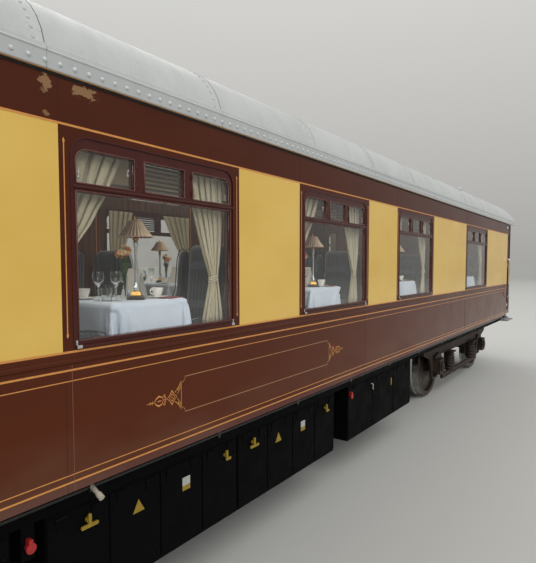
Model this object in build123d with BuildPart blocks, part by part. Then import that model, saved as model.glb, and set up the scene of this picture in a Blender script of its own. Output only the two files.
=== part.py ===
from build123d import *
from math import asin, atan2, cos, degrees, radians, sin, sqrt, tan
import os

# Passenger coach: a first-class dining saloon on two four-wheel bogies.
# Millimetres. X runs along the coach, -Y is the side seen in the photograph, +Z is up.
# The origin is under the middle of the coach, on the floor that the wheel flanges stand on.

# Heights
FLANGE_DEPTH = 28
RAIL_Z = FLANGE_DEPTH
SIDE_Z = RAIL_Z + 1130
LOWER_PANEL_H = 717
BAND_H = 1110
LETTERBOARD_H = 259
BAND_Z = SIDE_Z + LOWER_PANEL_H
LETTERBOARD_Z = BAND_Z + BAND_H
EAVES_Z = LETTERBOARD_Z + LETTERBOARD_H
FLOOR_Z = RAIL_Z + 1280
FLOOR_T = 60
DECK_Z = FLOOR_Z - FLOOR_T

# Body shell
BODY_LENGTH = 20117
HALF_LENGTH = BODY_LENGTH / 2
BODY_WIDTH = 2730
HALF_WIDTH = BODY_WIDTH / 2
WALL = 70
INNER_Y = HALF_WIDTH - WALL
VESTIBULE_LENGTH = 708
SIDE_END_X = HALF_LENGTH - VESTIBULE_LENGTH
RECESS = 70
RECESS_Y = HALF_WIDTH - RECESS
CREAM_SHEET = 12
MOULDING_H = 26
MOULDING_OUT = 9
MOULDING_BELOW_BAND = 38

# Roof
EAVES_OUT = 12
ROOF_T = 82
CORNER_R = 420
CROWN_R = 3200
DOME_SECTIONS = [(0.0, 0, 420), (0.55, 40, 395), (1.0, 150, 320)]
COVER_STRIP_H = 85
COVER_STRIP_T = 6
COVER_STRIP_IN = 30
VENT_PITCH = 1676
VENT_Y = 300
VENT_H = 110
VENT_BODY_R = 45
VENT_BODY_L = 340
VENT_NOSE_L = 95
VENT_NOSE_R = 14
VENT_NECK_R = 30
LAVATORY_VENT_FROM_SIDE_END = 1390
LAVATORY_VENT_Y = 650
LAVATORY_VENT_H = 175
LAVATORY_VENT_R = 34
LAVATORY_CAP_R = 62
SEAT = 0.3

# Windows: a brown unit fills the height of the band, with the frame's opening inside it
BAY = 2205
UNIT_W = 1395
COUPE_FROM_SIDE_END = 2800
COUPE_X = SIDE_END_X - COUPE_FROM_SIDE_END
COUPE_UNIT_W = 1600
KITCHEN_UNIT_W = 760
KITCHEN_FROM_SIDE_END = (2050, 3450)
SURROUND = 60
OPENING_UP = 10
OPENING_H = 1070
OPENING_R = 105
KITCHEN_OPENING_H = 560
KITCHEN_OPENING_UP = OPENING_H + OPENING_UP - KITCHEN_OPENING_H
FRAME_T = 50
FRAME_IN = 5
STILE = 38
TOP_RAIL = 70
TRANSOM = 46
MULLION = 78
TOPLIGHT_H = 165
TOPLIGHT_R = 62
CENTRE_LIGHT_SHARE = 0.30
BEAD_W = 12
BEAD_OUT = 8
TRANSOM_BEAD_R = 10
SILL_H = 14
SILL_OUT = 20
GLASS_T = 6
GLASS_IN = 9
GLASS_GAP = 0.3

# Vestibule ends and doors
END_SHEET = 58
JAMB = 25
JAMB_DEPTH = 70
DOOR_GAP = 8
DOOR_T = 45
DOOR_SET_BACK = 10
DOOR_HEAD_H = 42
HEAD_GAP = 4
DOOR_LIGHT_W = 360
DOOR_LIGHT_H = 690
DOOR_LIGHT_UP = 1010
HINGE_R = 6
HINGE_CLEARANCE = 0.08
HINGE_DEPTH = 22
HINGE_END_GAP = 2
HANDLE_OUT = 45
GANGWAY_W = 700
GANGWAY_H = 1890
BELLOWS_W = 960
BELLOWS_H = 2080
BELLOWS_WALL = 45
BELLOWS_PLEATS = 6
PLEAT_W = 52
PLEAT_DEPTH = 30
FACEPLATE_T = 30
FACEPLATE_RIM = 30
END_RIB_W = 40
END_RIB_T = 14
END_RIB_Y = (700, 1062)
END_RAIL_UP = 1060
SOCKET_R = 38
SOCKET_L = 70
SOCKET_Y = 590
SOCKET_UP = 150

# Inside
PARTITION_T = 40
DOORWAY_W = 600
DOORWAY_H = 1960
CORRIDOR_Y = 850
CORRIDOR_WALL_Y = 430
SALOON_MARGIN = 290
SALOON_END_X = 2 * BAY + SALOON_MARGIN
LAVATORY_L = 1590
LAVATORY_X = SIDE_END_X - LAVATORY_L
TABLE_L = 580
TABLE_D = 600
TABLE_H = 770
TABLE_T = 28
TABLE_FROM_WALL = 65
TABLE_LEG_R = 32
LEG_FROM_WALL = 140
TABLE_BRACKET = 30
CLOTH_T = 3
CLOTH_DROP = 250
LAMP_FOOT_W = 108
LAMP_FOOT_H = 11
LAMP_STEP_W = 84
LAMP_STEP_H = 46
LAMP_STEP_TAPER = 34
LAMP_STEM_R = 9
LAMP_H = 396
SHADE_BOTTOM_R = 110
SHADE_TOP_R = 42
SHADE_H = 106
LAMP_FROM_WALL = 210
CHAIR_FROM_TABLE = 20
CHAIR_W = 580
CHAIR_D = 600
CHAIR_H = 1180
SEAT_H = 440
ARM_H = 640
ARM_W = 90
PLINTH_H = 90
PLINTH_IN = 50
BACK_RAKE = 80
BACK_T = 110
WING_FRONT = 440
CREST_R = 30
CHAIR_FROM_WALL = 60
CURTAIN_T = 40
CURTAIN_FROM_WALL = 0.3

# Underframe
SOLEBAR_H = 230
SOLEBAR_FACE_Y = 1240
SOLEBAR_FLANGE = 75
SOLEBAR_T = 12
SOLEBAR_Z = DECK_Z - SOLEBAR_H
HEADSTOCK_T = 100
HEADSTOCK_H = 200
HEADSTOCK_X = HALF_LENGTH - HEADSTOCK_T
BEARER_W = 60
BEARER_H = 150
SILL_Y = 350
SILL_W = 70
BODY_BOLSTER_W = 460
PIVOT_R = 50
PIVOT_CLEARANCE = 0.08
PIVOT_DEPTH = 110
TRUSS_T = 40
TRUSS_BAR = 50
TRUSS_DEPTH = 480
TRUSS_HALF_TOP = 4300
TRUSS_HALF_BOTTOM = 1500
CONDUIT_R = 13
CONDUIT_BELOW_DECK = 148
BRACKET_PITCH = 1060
BRACKETS = 18

# Bogies
BOGIE_FROM_END = 2971.5
BOGIE_X = HALF_LENGTH - BOGIE_FROM_END
WHEELBASE = 3048
AXLE_X = WHEELBASE / 2
WHEEL_D = 1067
WHEEL_R = WHEEL_D / 2
AXLE_Z = RAIL_Z + WHEEL_R
BACK_TO_BACK = 1360
TYRE_W = 135
FLANGE_W = 32
RIM_T = 75
WEB_T = 38
WEB_DISH = 34
HUB_R = 115
HUB_W = 175
AXLE_R = 82
JOURNAL_R = 65
JOURNAL_CLEARANCE = 0.08
JOURNAL_END_Y = 1030
FRAME_Y = 900
FRAME_PLATE = 36
FRAME_TOP_Z = RAIL_Z + 872
FRAME_H = 190
FRAME_HALF_L = 2120
PEDESTAL_W = 430
PEDESTAL_Z = RAIL_Z + 350
PEDESTAL_LEG_IN = 60
KNEE_R = 95
NOSE_R = 40
TIE_BAR_H = 38
AXLEBOX_W = 230
AXLEBOX_H = 260
AXLEBOX_GAP = 0.5
AXLEBOX_COVER_R = 82
AXLEBOX_COVER_T = 18
AXLEBOX_OUT_Y = 1060
TRANSOM_X = 330
TRANSOM_W = 90
END_BAR_W = 60
BAR_Y = 960
BAR_T = 40
BAR_H = 90
BAR_LOW_Z = RAIL_Z + 250
SPRING_X = 760
SPRING_R = 95
SPRING_COILS = 5
SPRING_TOP_Z = RAIL_Z + 672
BRACKET_T = 25
BOLSTER_W = 360
BOLSTER_H = 150
BOLSTER_TOP_Z = RAIL_Z + 930
BOLSTER_HALF_L = 820
BOWL_R = 210
SIDE_BEARER_Y = 620
SIDE_BEARER_R = 90
SIDE_BEARER_GAP = 10
BLOCK_CLEARANCE = 8
BLOCK_T = 45
BLOCK_ARC = 34

# Equipment below the floor: centre X, length, doors, on each side
CASE_FACE_Y = 1225
CASE_DEPTH = 660
CASE_H = 600
CASE_DOOR_T = 6
CASE_DOOR_GAP = 14
NEAR_CASES = [(-1055, 1560, 4), (515, 1560, 4), (2560, 1900, 3), (-3020, 2000, 3)]
FAR_CASES = [(-2300, 2600, 4), (700, 2900, 5), (3300, 1500, 2)]

# Fittings on the near cases: turning handles and the knobs of two valves
# Centre X, and the side of the foot: 0 for a bar to both sides, 1 for a bar towards +X
CASE_HANDLES = [(-1590, 0), (-80, 0), (-420, 1), (1100, 1)]
VALVE_POST_X = -1930
VALVE_POST_W = 70
VALVE_XS = (VALVE_POST_X, 1650)
HANDLE_Z = 905
HANDLE_STEM_H = 76
HANDLE_BAR_L = 108
HANDLE_BAR_W = 20
HANDLE_BOSS_R = 15
HANDLE_BOSS_L = 18
HANDLE_T = 10
KNOB_R = 27
KNOB_L = 32
KNOB_LEVER_H = 46
KNOB_LEVER_W = 22

# Filler pipe below the near solebar, and the round lamps near the doors on the letterboards
FILLER_X = -1.5 * BRACKET_PITCH
FILLER_R = 13
FILLER_L = 95
FILLER_TILT = 25
SIDE_LAMP_FROM_SIDE_END = 90
SIDE_LAMP_BELOW_EAVES = 115
SIDE_LAMP_R = 27
SIDE_LAMP_OUT = 22
RESERVOIR_R = 160
RESERVOIR_L = 1300
RESERVOIR_CLEARANCE = 157
RESERVOIR_X = BOGIE_X - FRAME_HALF_L - RESERVOIR_R - RESERVOIR_CLEARANCE

# Buffers and couplers
BUFFER_Y = 876
BUFFER_Z = RAIL_Z + 1050
BUFFER_FLANGE_R = 152
BUFFER_FLANGE_T = 25
BUFFER_CASE_R = 112
BUFFER_MOUTH_R = 90
BUFFER_CASE_L = 205
BUFFER_RAM_R = 70
BUFFER_HEAD_R = 228
BUFFER_HEAD_H = 356
BUFFER_HEAD_T = 40
BUFFER_REACH = 416
COUPLER_Z = BUFFER_Z
COUPLER_REACH = 400
SHANK = 130

STEP_DROP = 120
STEP_T = 25
STEP_OUT_Y = 1400
RAIL_BAR_R = 14
RAIL_BAR_OUT = 55
RAIL_BEND_R = 32
RAIL_BAR_Z = (RAIL_Z + 1560, RAIL_Z + 2400)

ENDS = {"coupe": 1, "kitchen": -1}
SIDES = {"near": -1, "far": 1}

os.makedirs("parts", exist_ok=True)


def save(part, name):
    part.label = name
    export_step(part, f"parts/{name}.step")


def to_side(part, side):
    """The far side is the mirror image of the near one."""
    return part if SIDES[side] < 0 else mirror(part, about=Plane.XZ, mode=Mode.PRIVATE)


def doubled(part):
    """The part at the coupe end and its mirror image at the kitchen end, as two solids."""
    with BuildPart() as both:
        add(part)
        mirror(part, about=Plane.YZ)
    return both.part


# Windows of each side: centre X, unit width, kind
saloon_windows = [((k - 1.5) * BAY, UNIT_W, "large") for k in range(4)]
WINDOWS = {
    "near": [(x - SIDE_END_X, KITCHEN_UNIT_W, "kitchen") for x in KITCHEN_FROM_SIDE_END]
    + saloon_windows
    + [(COUPE_X, COUPE_UNIT_W, "large")],
    "far": [((k - 1.5) * BAY, UNIT_W, "large") for k in (-2, -1)]
    + saloon_windows
    + [(COUPE_X, COUPE_UNIT_W, "large")],
}


def opening_size(unit_width, kind):
    """Width, height and height above the band's foot of a window opening."""
    width = unit_width - 2 * SURROUND
    if kind == "kitchen":
        return width, KITCHEN_OPENING_H, KITCHEN_OPENING_UP
    return width, OPENING_H, OPENING_UP


def arched(width, height, radius):
    """A rectangle standing on its middle, with its two top corners rounded."""
    with BuildSketch(mode=Mode.PRIVATE) as shape:
        Rectangle(width, height, align=(Align.CENTER, Align.MIN))
        fillet(shape.vertices().group_by(Axis.Y)[-1], radius)
    return shape.sketch


def toplights_z(height):
    """The foot of the toplights, from the opening's foot."""
    return height - TOP_RAIL - TOPLIGHT_H


def panes(unit_width, kind):
    """Centre X, foot, width, height and rounded corner of each pane, from the opening's foot."""
    width, height, _ = opening_size(unit_width, kind)
    glazed = width - 2 * STILE
    light_z = toplights_z(height)
    main_h = light_z - TRANSOM - STILE
    rows = [(0, STILE, glazed, main_h, None)]
    if kind == "kitchen":
        return [(0, STILE, glazed, main_h, None), (0, light_z, glazed, TOPLIGHT_H, None)]
    lights = glazed - 2 * MULLION
    centre_w = lights * CENTRE_LIGHT_SHARE
    outer_w = (lights - centre_w) / 2
    outer_x = (glazed - outer_w) / 2
    rows.append((-outer_x, light_z, outer_w, TOPLIGHT_H, "left"))
    rows.append((0, light_z, centre_w, TOPLIGHT_H, None))
    rows.append((outer_x, light_z, outer_w, TOPLIGHT_H, "right"))
    return rows


def pane_shape(width, height, corner, inset=0.0):
    """One pane, with the rounded corner of an outer toplight."""
    with BuildSketch(mode=Mode.PRIVATE) as shape:
        Rectangle(width - 2 * inset, height - 2 * inset)
        if corner:
            side = -1 if corner == "left" else 1
            top = shape.vertices().group_by(Axis.Y)[-1]
            fillet(top.sort_by(Axis.X)[0 if side < 0 else -1], TOPLIGHT_R - inset)
    return shape.sketch


def cream_spans(side):
    """The stretches of the band between the window units."""
    edges = [-SIDE_END_X]
    for x, width, _ in WINDOWS[side]:
        edges += [x - width / 2, x + width / 2]
    edges.append(SIDE_END_X)
    return list(zip(edges[0::2], edges[1::2]))


OUTER_FACE = Plane.XZ.offset(HALF_WIDTH)

# Sides: one steel wall each, with its windows cut, pockets for the cream sheets and a waist moulding
walls = {}
for side in SIDES:
    with BuildPart() as wall:
        with BuildSketch(OUTER_FACE):
            with Locations((0, SIDE_Z)):
                Rectangle(2 * SIDE_END_X, EAVES_Z - SIDE_Z, align=(Align.CENTER, Align.MIN))
            for x, unit, kind in WINDOWS[side]:
                width, height, up = opening_size(unit, kind)
                with Locations((x, BAND_Z + up)):
                    add(arched(width, height, OPENING_R), mode=Mode.SUBTRACT)
        extrude(amount=-WALL)
        with BuildSketch(OUTER_FACE):
            for left, right in cream_spans(side):
                with Locations(((left + right) / 2, BAND_Z)):
                    Rectangle(right - left, BAND_H, align=(Align.CENTER, Align.MIN))
        extrude(amount=-CREAM_SHEET, mode=Mode.SUBTRACT)
        with BuildSketch(OUTER_FACE):
            with Locations((0, BAND_Z - MOULDING_BELOW_BAND)):
                Rectangle(2 * SIDE_END_X, MOULDING_H, align=(Align.CENTER, Align.MAX))
        extrude(amount=MOULDING_OUT)
        edges = wall.faces().sort_by(Axis.Y)[0].edges().filter_by(Axis.X)
        chamfer(edges, MOULDING_OUT * 0.6)
    walls[side] = to_side(wall.part, side)
with BuildPart() as side_walls:
    for wall_part in walls.values():
        add(wall_part)
save(side_walls.part, "side_walls")

# Cream sheets, let into the sides between the windows
with BuildPart() as cream:
    for side in SIDES:
        with BuildPart(mode=Mode.PRIVATE) as sheets:
            with BuildSketch(OUTER_FACE):
                for left, right in cream_spans(side):
                    with Locations(((left + right) / 2, BAND_Z)):
                        Rectangle(right - left, BAND_H, align=(Align.CENTER, Align.MIN))
            extrude(amount=-CREAM_SHEET)
        add(to_side(sheets.part, side))
save(cream.part, "cream_panels")

# Window frames, each one solid with its stiles, transom and two mullions, and the glass inside them.
# A bead runs round each opening, a half-round drip along the transom and a sill along the foot.
FRAME_FACE = OUTER_FACE.offset(-FRAME_IN)
with BuildPart() as frames:
    for side in SIDES:
        with BuildPart(mode=Mode.PRIVATE) as one_side:
            for x, unit, kind in WINDOWS[side]:
                width, height, up = opening_size(unit, kind)
                foot_z = BAND_Z + up
                with BuildSketch(FRAME_FACE):
                    with Locations((x, foot_z)):
                        add(arched(width, height, OPENING_R))
                    for pane_x, foot, pane_w, pane_h, corner in panes(unit, kind):
                        with Locations((x + pane_x, foot_z + foot + pane_h / 2)):
                            add(pane_shape(pane_w, pane_h, corner), mode=Mode.SUBTRACT)
                extrude(amount=-FRAME_T)
                with BuildSketch(FRAME_FACE):
                    with Locations((x, foot_z)):
                        add(arched(width, height, OPENING_R))
                    with Locations((x, foot_z + SILL_H)):
                        add(arched(width - 2 * BEAD_W, height - BEAD_W - SILL_H, OPENING_R - BEAD_W),
                            mode=Mode.SUBTRACT)
                extrude(amount=BEAD_OUT)
                inside_w = width - 2 * BEAD_W
                with Locations((x, -HALF_WIDTH + FRAME_IN, foot_z)):
                    Box(inside_w, SILL_OUT, SILL_H, align=(Align.CENTER, Align.MAX, Align.MIN))
                drip_z = foot_z + toplights_z(height) - TRANSOM / 2
                with Locations(Location((x, -HALF_WIDTH + FRAME_IN, drip_z), (0, 90, 0))):
                    Cylinder(TRANSOM_BEAD_R, inside_w)
        add(to_side(one_side.part, side))
save(frames.part, "window_frames")

with BuildPart() as glass:
    for side in SIDES:
        with BuildPart(mode=Mode.PRIVATE) as one_side:
            with BuildSketch(OUTER_FACE.offset(-FRAME_IN - GLASS_IN)):
                for x, unit, kind in WINDOWS[side]:
                    up = opening_size(unit, kind)[2]
                    for pane_x, foot, pane_w, pane_h, corner in panes(unit, kind):
                        with Locations((x + pane_x, BAND_Z + up + foot + pane_h / 2)):
                            add(pane_shape(pane_w, pane_h, corner, GLASS_GAP))
            extrude(amount=-GLASS_T)
        add(to_side(one_side.part, side))
save(glass.part, "window_glass")


def roof_profile(half_width, corner_r, crown_r, plane):
    """The closed arch from eaves to eaves: a tight arc at each corner and a flat one over the crown."""
    span = half_width - corner_r
    tilt = asin(span / (crown_r - corner_r))
    crown_z = -(crown_r - corner_r) * cos(tilt)
    knee = (span + corner_r * sin(tilt), corner_r * cos(tilt))
    crown = (0, crown_z + crown_r)
    mid_tilt = (tilt + radians(90)) / 2
    corner_mid = (span + corner_r * sin(mid_tilt), corner_r * cos(mid_tilt))
    with BuildSketch(plane, mode=Mode.PRIVATE) as shape:
        with BuildLine():
            ThreePointArc((half_width, 0), corner_mid, knee)
            ThreePointArc(knee, crown, (-knee[0], knee[1]))
            ThreePointArc((-knee[0], knee[1]), (-corner_mid[0], corner_mid[1]), (-half_width, 0))
            Line((-half_width, 0), (half_width, 0))
        make_face()
    return shape.sketch


def crown_rise(half_width, corner_r, crown_r):
    span = half_width - corner_r
    return crown_r - sqrt((crown_r - corner_r) ** 2 - span**2)


def across(x):
    """The plane across the coach at x: local X is +Y and local Y is up from the eaves."""
    return Plane(origin=(x, 0, EAVES_Z), x_dir=(0, 1, 0), z_dir=(1, 0, 0))


ROOF_HALF_W = HALF_WIDTH + EAVES_OUT
ROOF_RISE = crown_rise(ROOF_HALF_W, CORNER_R, CROWN_R)


def dome_profile(share, drop, corner_r, end):
    """The roof's arch lowered by drop, at a share of the way along a vestibule."""
    span = ROOF_HALF_W - corner_r
    lift = ROOF_RISE - drop - corner_r
    crown_r = corner_r + (span**2 + lift**2) / (2 * lift)
    return roof_profile(ROOF_HALF_W, corner_r, crown_r, across(end * (SIDE_END_X + share * VESTIBULE_LENGTH)))


# Roof: a hollow arch over the saloon, with a solid domed end over each vestibule
with BuildPart() as roof:
    add(extrude(roof_profile(ROOF_HALF_W, CORNER_R, CROWN_R, across(-SIDE_END_X)), amount=2 * SIDE_END_X,
                mode=Mode.PRIVATE))
    add(extrude(roof_profile(ROOF_HALF_W - ROOF_T, CORNER_R - ROOF_T, CROWN_R - ROOF_T,
                             across(-SIDE_END_X)), amount=2 * SIDE_END_X, mode=Mode.PRIVATE),
        mode=Mode.SUBTRACT)
    for end in ENDS.values():
        sections = [dome_profile(share, drop, corner_r, end) for share, drop, corner_r in DOME_SECTIONS]
        add(loft(sections, mode=Mode.PRIVATE))
    for side in SIDES.values():
        with BuildSketch(across(-HALF_LENGTH)):
            with Locations((side * (ROOF_HALF_W + COVER_STRIP_T), 0)):
                Rectangle(COVER_STRIP_T + COVER_STRIP_IN, COVER_STRIP_H,
                          align=(Align.MAX if side > 0 else Align.MIN, Align.MIN))
        extrude(amount=BODY_LENGTH)
save(roof.part, "roof")

# Ventilators along the crown, on alternate sides: a pointed body on a neck that is cut to the roof's curve
VENT_SHELL = (ROOF_HALF_W + SEAT, CORNER_R + SEAT, CROWN_R + SEAT)
CROWN_Z = EAVES_Z + ROOF_RISE
VENT_BODY_Z = CROWN_Z + VENT_H - VENT_BODY_R
crown_block = extrude(roof_profile(*VENT_SHELL, across(-VENT_BODY_L)), amount=2 * VENT_BODY_L, mode=Mode.PRIVATE)
with BuildPart() as vent:
    with BuildSketch(Plane.XY.offset(CROWN_Z - VENT_H)):
        with Locations((0, VENT_Y)):
            SlotOverall(5 * VENT_NECK_R, 2 * VENT_NECK_R)
    extrude(amount=VENT_BODY_Z - CROWN_Z + VENT_H)
    add(crown_block, mode=Mode.SUBTRACT)
    with BuildSketch(Plane.XZ.offset(-VENT_Y)):
        with BuildLine():
            tip, shoulder = VENT_BODY_L / 2, VENT_BODY_L / 2 - VENT_NOSE_L
            Polyline((-tip, VENT_BODY_Z), (-tip, VENT_BODY_Z + VENT_NOSE_R), (-shoulder, VENT_BODY_Z + VENT_BODY_R),
                     (shoulder, VENT_BODY_Z + VENT_BODY_R), (tip, VENT_BODY_Z + VENT_NOSE_R), (tip, VENT_BODY_Z),
                     close=True)
        make_face()
    revolve(axis=Axis((0, VENT_Y, VENT_BODY_Z), (1, 0, 0)))

# The lavatory's own ventilator: a round neck under a conical cap
with BuildPart() as lavatory_vent:
    with BuildSketch(Plane.XZ.offset(LAVATORY_VENT_Y)):
        with BuildLine():
            cap_z = CROWN_Z + VENT_H
            foot_z = cap_z - 2 * LAVATORY_VENT_H
            neck_z = cap_z - LAVATORY_VENT_R
            Polyline((0, foot_z), (LAVATORY_VENT_R, foot_z), (LAVATORY_VENT_R, neck_z - LAVATORY_VENT_R),
                     (LAVATORY_CAP_R, neck_z - LAVATORY_VENT_R), (LAVATORY_CAP_R, neck_z), (0, cap_z), close=True)
        make_face()
    revolve(axis=Axis((0, -LAVATORY_VENT_Y, 0), (0, 0, 1)))
    add(crown_block, mode=Mode.SUBTRACT)
with BuildPart() as vents:
    for k in range(-5, 6):
        with Locations(Location((k * VENT_PITCH, 0, 0), (0, 0, 180 * (k % 2)))):
            add(vent.part)
    with Locations((SIDE_END_X - LAVATORY_VENT_FROM_SIDE_END, 0, 0)):
        add(lavatory_vent.part)
save(vents.part, "roof_vents")

# Door sizes, from the doorways
DOOR_HINGE_X = HALF_LENGTH - END_SHEET - DOOR_GAP
DOOR_W = DOOR_HINGE_X - SIDE_END_X - JAMB - DOOR_GAP
DOOR_FOOT_Z = FLOOR_Z + DOOR_GAP
DOOR_H = EAVES_Z - DOOR_HEAD_H - HEAD_GAP - DOOR_FOOT_Z
DOOR_OUT_Y = RECESS_Y - DOOR_SET_BACK
DOOR_MID_X = DOOR_HINGE_X - DOOR_W / 2
PIN_FOOT_Z = FLOOR_Z - HINGE_DEPTH + HINGE_END_GAP
PIN_TOP_Z = EAVES_Z - DOOR_HEAD_H + HINGE_DEPTH - HINGE_END_GAP
pin_spots = [(DOOR_HINGE_X, side * (DOOR_OUT_Y - DOOR_T)) for side in SIDES.values()]

# Ends: the end sheet with its gangway opening, the jambs, heads and skirts of both doorways
with BuildPart() as end_wall:
    with BuildSketch(Plane.YZ.offset(HALF_LENGTH - END_SHEET)):
        with Locations((0, SIDE_Z)):
            Rectangle(2 * RECESS_Y, EAVES_Z - SIDE_Z, align=(Align.CENTER, Align.MIN))
        with Locations((0, FLOOR_Z)):
            Rectangle(GANGWAY_W, GANGWAY_H, align=(Align.CENTER, Align.MIN), mode=Mode.SUBTRACT)
    extrude(amount=END_SHEET)
    for side in SIDES.values():
        door_end = HALF_LENGTH - END_SHEET
        depth_align = Align.MIN if side < 0 else Align.MAX
        with Locations((SIDE_END_X, side * RECESS_Y, EAVES_Z)):
            Box(door_end - SIDE_END_X, JAMB_DEPTH, DOOR_HEAD_H, align=(Align.MIN, depth_align, Align.MAX))
        with Locations((SIDE_END_X, side * RECESS_Y, FLOOR_Z)):
            Box(JAMB, JAMB_DEPTH, EAVES_Z - FLOOR_Z, align=(Align.MIN, depth_align, Align.MIN))
        with Locations((SIDE_END_X, side * RECESS_Y, SIDE_Z)):
            Box(door_end - SIDE_END_X, JAMB_DEPTH / 2, DECK_Z - SIDE_Z,
                align=(Align.MIN, depth_align, Align.MIN))
    with Locations(*[(x, y, EAVES_Z - DOOR_HEAD_H) for x, y in pin_spots]):
        Cylinder(HINGE_R + HINGE_CLEARANCE, HINGE_DEPTH, align=(Align.CENTER, Align.CENTER, Align.MIN),
                 mode=Mode.SUBTRACT)
save(doubled(end_wall.part), "end_walls")

# Ribs on the end sheet beside the gangway, and a jumper socket on each side
with BuildPart() as end_fittings:
    with BuildSketch(Plane.YZ.offset(HALF_LENGTH)):
        for side in SIDES.values():
            for rib_y in END_RIB_Y:
                with Locations((side * rib_y, SIDE_Z)):
                    Rectangle(END_RIB_W, EAVES_Z - SIDE_Z, align=(Align.CENTER, Align.MIN))
            with Locations((side * (END_RIB_Y[0] + RECESS_Y) / 2, SIDE_Z + END_RAIL_UP)):
                Rectangle(RECESS_Y - END_RIB_Y[0], END_RIB_W)
    extrude(amount=END_RIB_T)
    for side in SIDES.values():
        with BuildSketch(Plane.YZ.offset(HALF_LENGTH)):
            with Locations((side * SOCKET_Y, SIDE_Z + SOCKET_UP)):
                Circle(SOCKET_R)
        extrude(amount=SOCKET_L)
save(doubled(end_fittings.part), "end_fittings")

# Floor
with BuildPart() as floor:
    with Locations((0, 0, DECK_Z)):
        Box(2 * (HALF_LENGTH - END_SHEET), 2 * INNER_Y, FLOOR_T, align=(Align.CENTER, Align.CENTER, Align.MIN))
    with Locations(*[(end * x, y, FLOOR_Z) for end in ENDS.values() for x, y in pin_spots]):
        Cylinder(HINGE_R + HINGE_CLEARANCE, HINGE_DEPTH, align=(Align.CENTER, Align.CENTER, Align.MAX),
                 mode=Mode.SUBTRACT)
save(floor.part, "floor")

# Doors, which open inwards about the edge next to the end wall
for side in SIDES:
    for end in ENDS:
        with BuildPart() as door:
            with BuildSketch(Plane.XZ.offset(DOOR_OUT_Y)):
                with Locations((DOOR_MID_X, DOOR_FOOT_Z)):
                    Rectangle(DOOR_W, DOOR_H, align=(Align.CENTER, Align.MIN))
                with Locations((DOOR_MID_X, DOOR_FOOT_Z + DOOR_LIGHT_UP + DOOR_LIGHT_H / 2)):
                    RectangleRounded(DOOR_LIGHT_W, DOOR_LIGHT_H, DOOR_T, mode=Mode.SUBTRACT)
            extrude(amount=-DOOR_T)
            with BuildSketch(Plane.XZ.offset(DOOR_OUT_Y)):
                with Locations((DOOR_MID_X, DOOR_FOOT_Z + DOOR_LIGHT_UP / 2)):
                    Rectangle(DOOR_W - 4 * DOOR_T, DOOR_LIGHT_UP - 4 * DOOR_T)
            extrude(amount=-DOOR_SET_BACK, mode=Mode.SUBTRACT)
            with Locations((DOOR_HINGE_X, -DOOR_OUT_Y + DOOR_T, PIN_FOOT_Z)):
                Cylinder(HINGE_R, PIN_TOP_Z - PIN_FOOT_Z, align=(Align.CENTER, Align.CENTER, Align.MIN))
            handle_x = DOOR_HINGE_X - DOOR_W + DOOR_T
            with Locations((handle_x, -DOOR_OUT_Y, DOOR_FOOT_Z + DOOR_LIGHT_UP - DOOR_T)):
                Box(DOOR_T / 2, HANDLE_OUT, DOOR_T / 2, align=(Align.CENTER, Align.MAX, Align.CENTER))
            with Locations((handle_x, -DOOR_OUT_Y - HANDLE_OUT, DOOR_FOOT_Z + DOOR_LIGHT_UP - DOOR_T)):
                Box(DOOR_T / 2, DOOR_T / 3, 3 * DOOR_T, align=(Align.CENTER, Align.MIN, Align.CENTER))
        with BuildPart() as pane:
            with BuildSketch(Plane.XZ.offset(DOOR_OUT_Y - GLASS_IN)):
                with Locations((DOOR_MID_X, DOOR_FOOT_Z + DOOR_LIGHT_UP + DOOR_LIGHT_H / 2)):
                    RectangleRounded(DOOR_LIGHT_W - 2 * GLASS_GAP, DOOR_LIGHT_H - 2 * GLASS_GAP,
                                     DOOR_T - GLASS_GAP)
            extrude(amount=-GLASS_T)
        for made, name in ((door.part, "door"), (pane.part, "door_glass")):
            placed = to_side(made, side)
            if ENDS[end] < 0:
                placed = mirror(placed, about=Plane.YZ, mode=Mode.PRIVATE)
            save(placed, f"{name}_{side}_{end}")


# Gangway bellows of folded leather, and the steel faceplate at their mouth
BELLOWS_Z = FLOOR_Z + GANGWAY_H / 2
with BuildPart() as bellows:
    for fold in range(2 * BELLOWS_PLEATS):
        sizes = (PLEAT_DEPTH, 0) if fold % 2 == 0 else (0, PLEAT_DEPTH)
        for step, inset in enumerate(sizes):
            with BuildSketch(Plane.YZ.offset(HALF_LENGTH + (fold + step) * PLEAT_W / 2)):
                with Locations((0, BELLOWS_Z)):
                    Rectangle(BELLOWS_W - 2 * inset, BELLOWS_H - 2 * inset)
        loft(ruled=True)
    with BuildSketch(Plane.YZ.offset(HALF_LENGTH)):
        with Locations((0, BELLOWS_Z)):
            Rectangle(BELLOWS_W - 3 * BELLOWS_WALL, BELLOWS_H - 3 * BELLOWS_WALL)
    extrude(amount=BELLOWS_PLEATS * PLEAT_W, mode=Mode.SUBTRACT)
save(doubled(bellows.part), "gangway_bellows")

BELLOWS_END_X = HALF_LENGTH + BELLOWS_PLEATS * PLEAT_W
with BuildPart() as faceplate:
    with BuildSketch(Plane.YZ.offset(BELLOWS_END_X)):
        with Locations((0, BELLOWS_Z)):
            RectangleRounded(BELLOWS_W + 2 * FACEPLATE_RIM, BELLOWS_H + 2 * FACEPLATE_RIM, FACEPLATE_RIM)
            Rectangle(GANGWAY_W + 2 * FACEPLATE_RIM, GANGWAY_H, mode=Mode.SUBTRACT)
    extrude(amount=FACEPLATE_T)
save(doubled(faceplate.part), "gangway_faceplates")

# Partitions: a coupe and lavatory block at one end, the kitchen block at the other, with a side corridor


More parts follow.
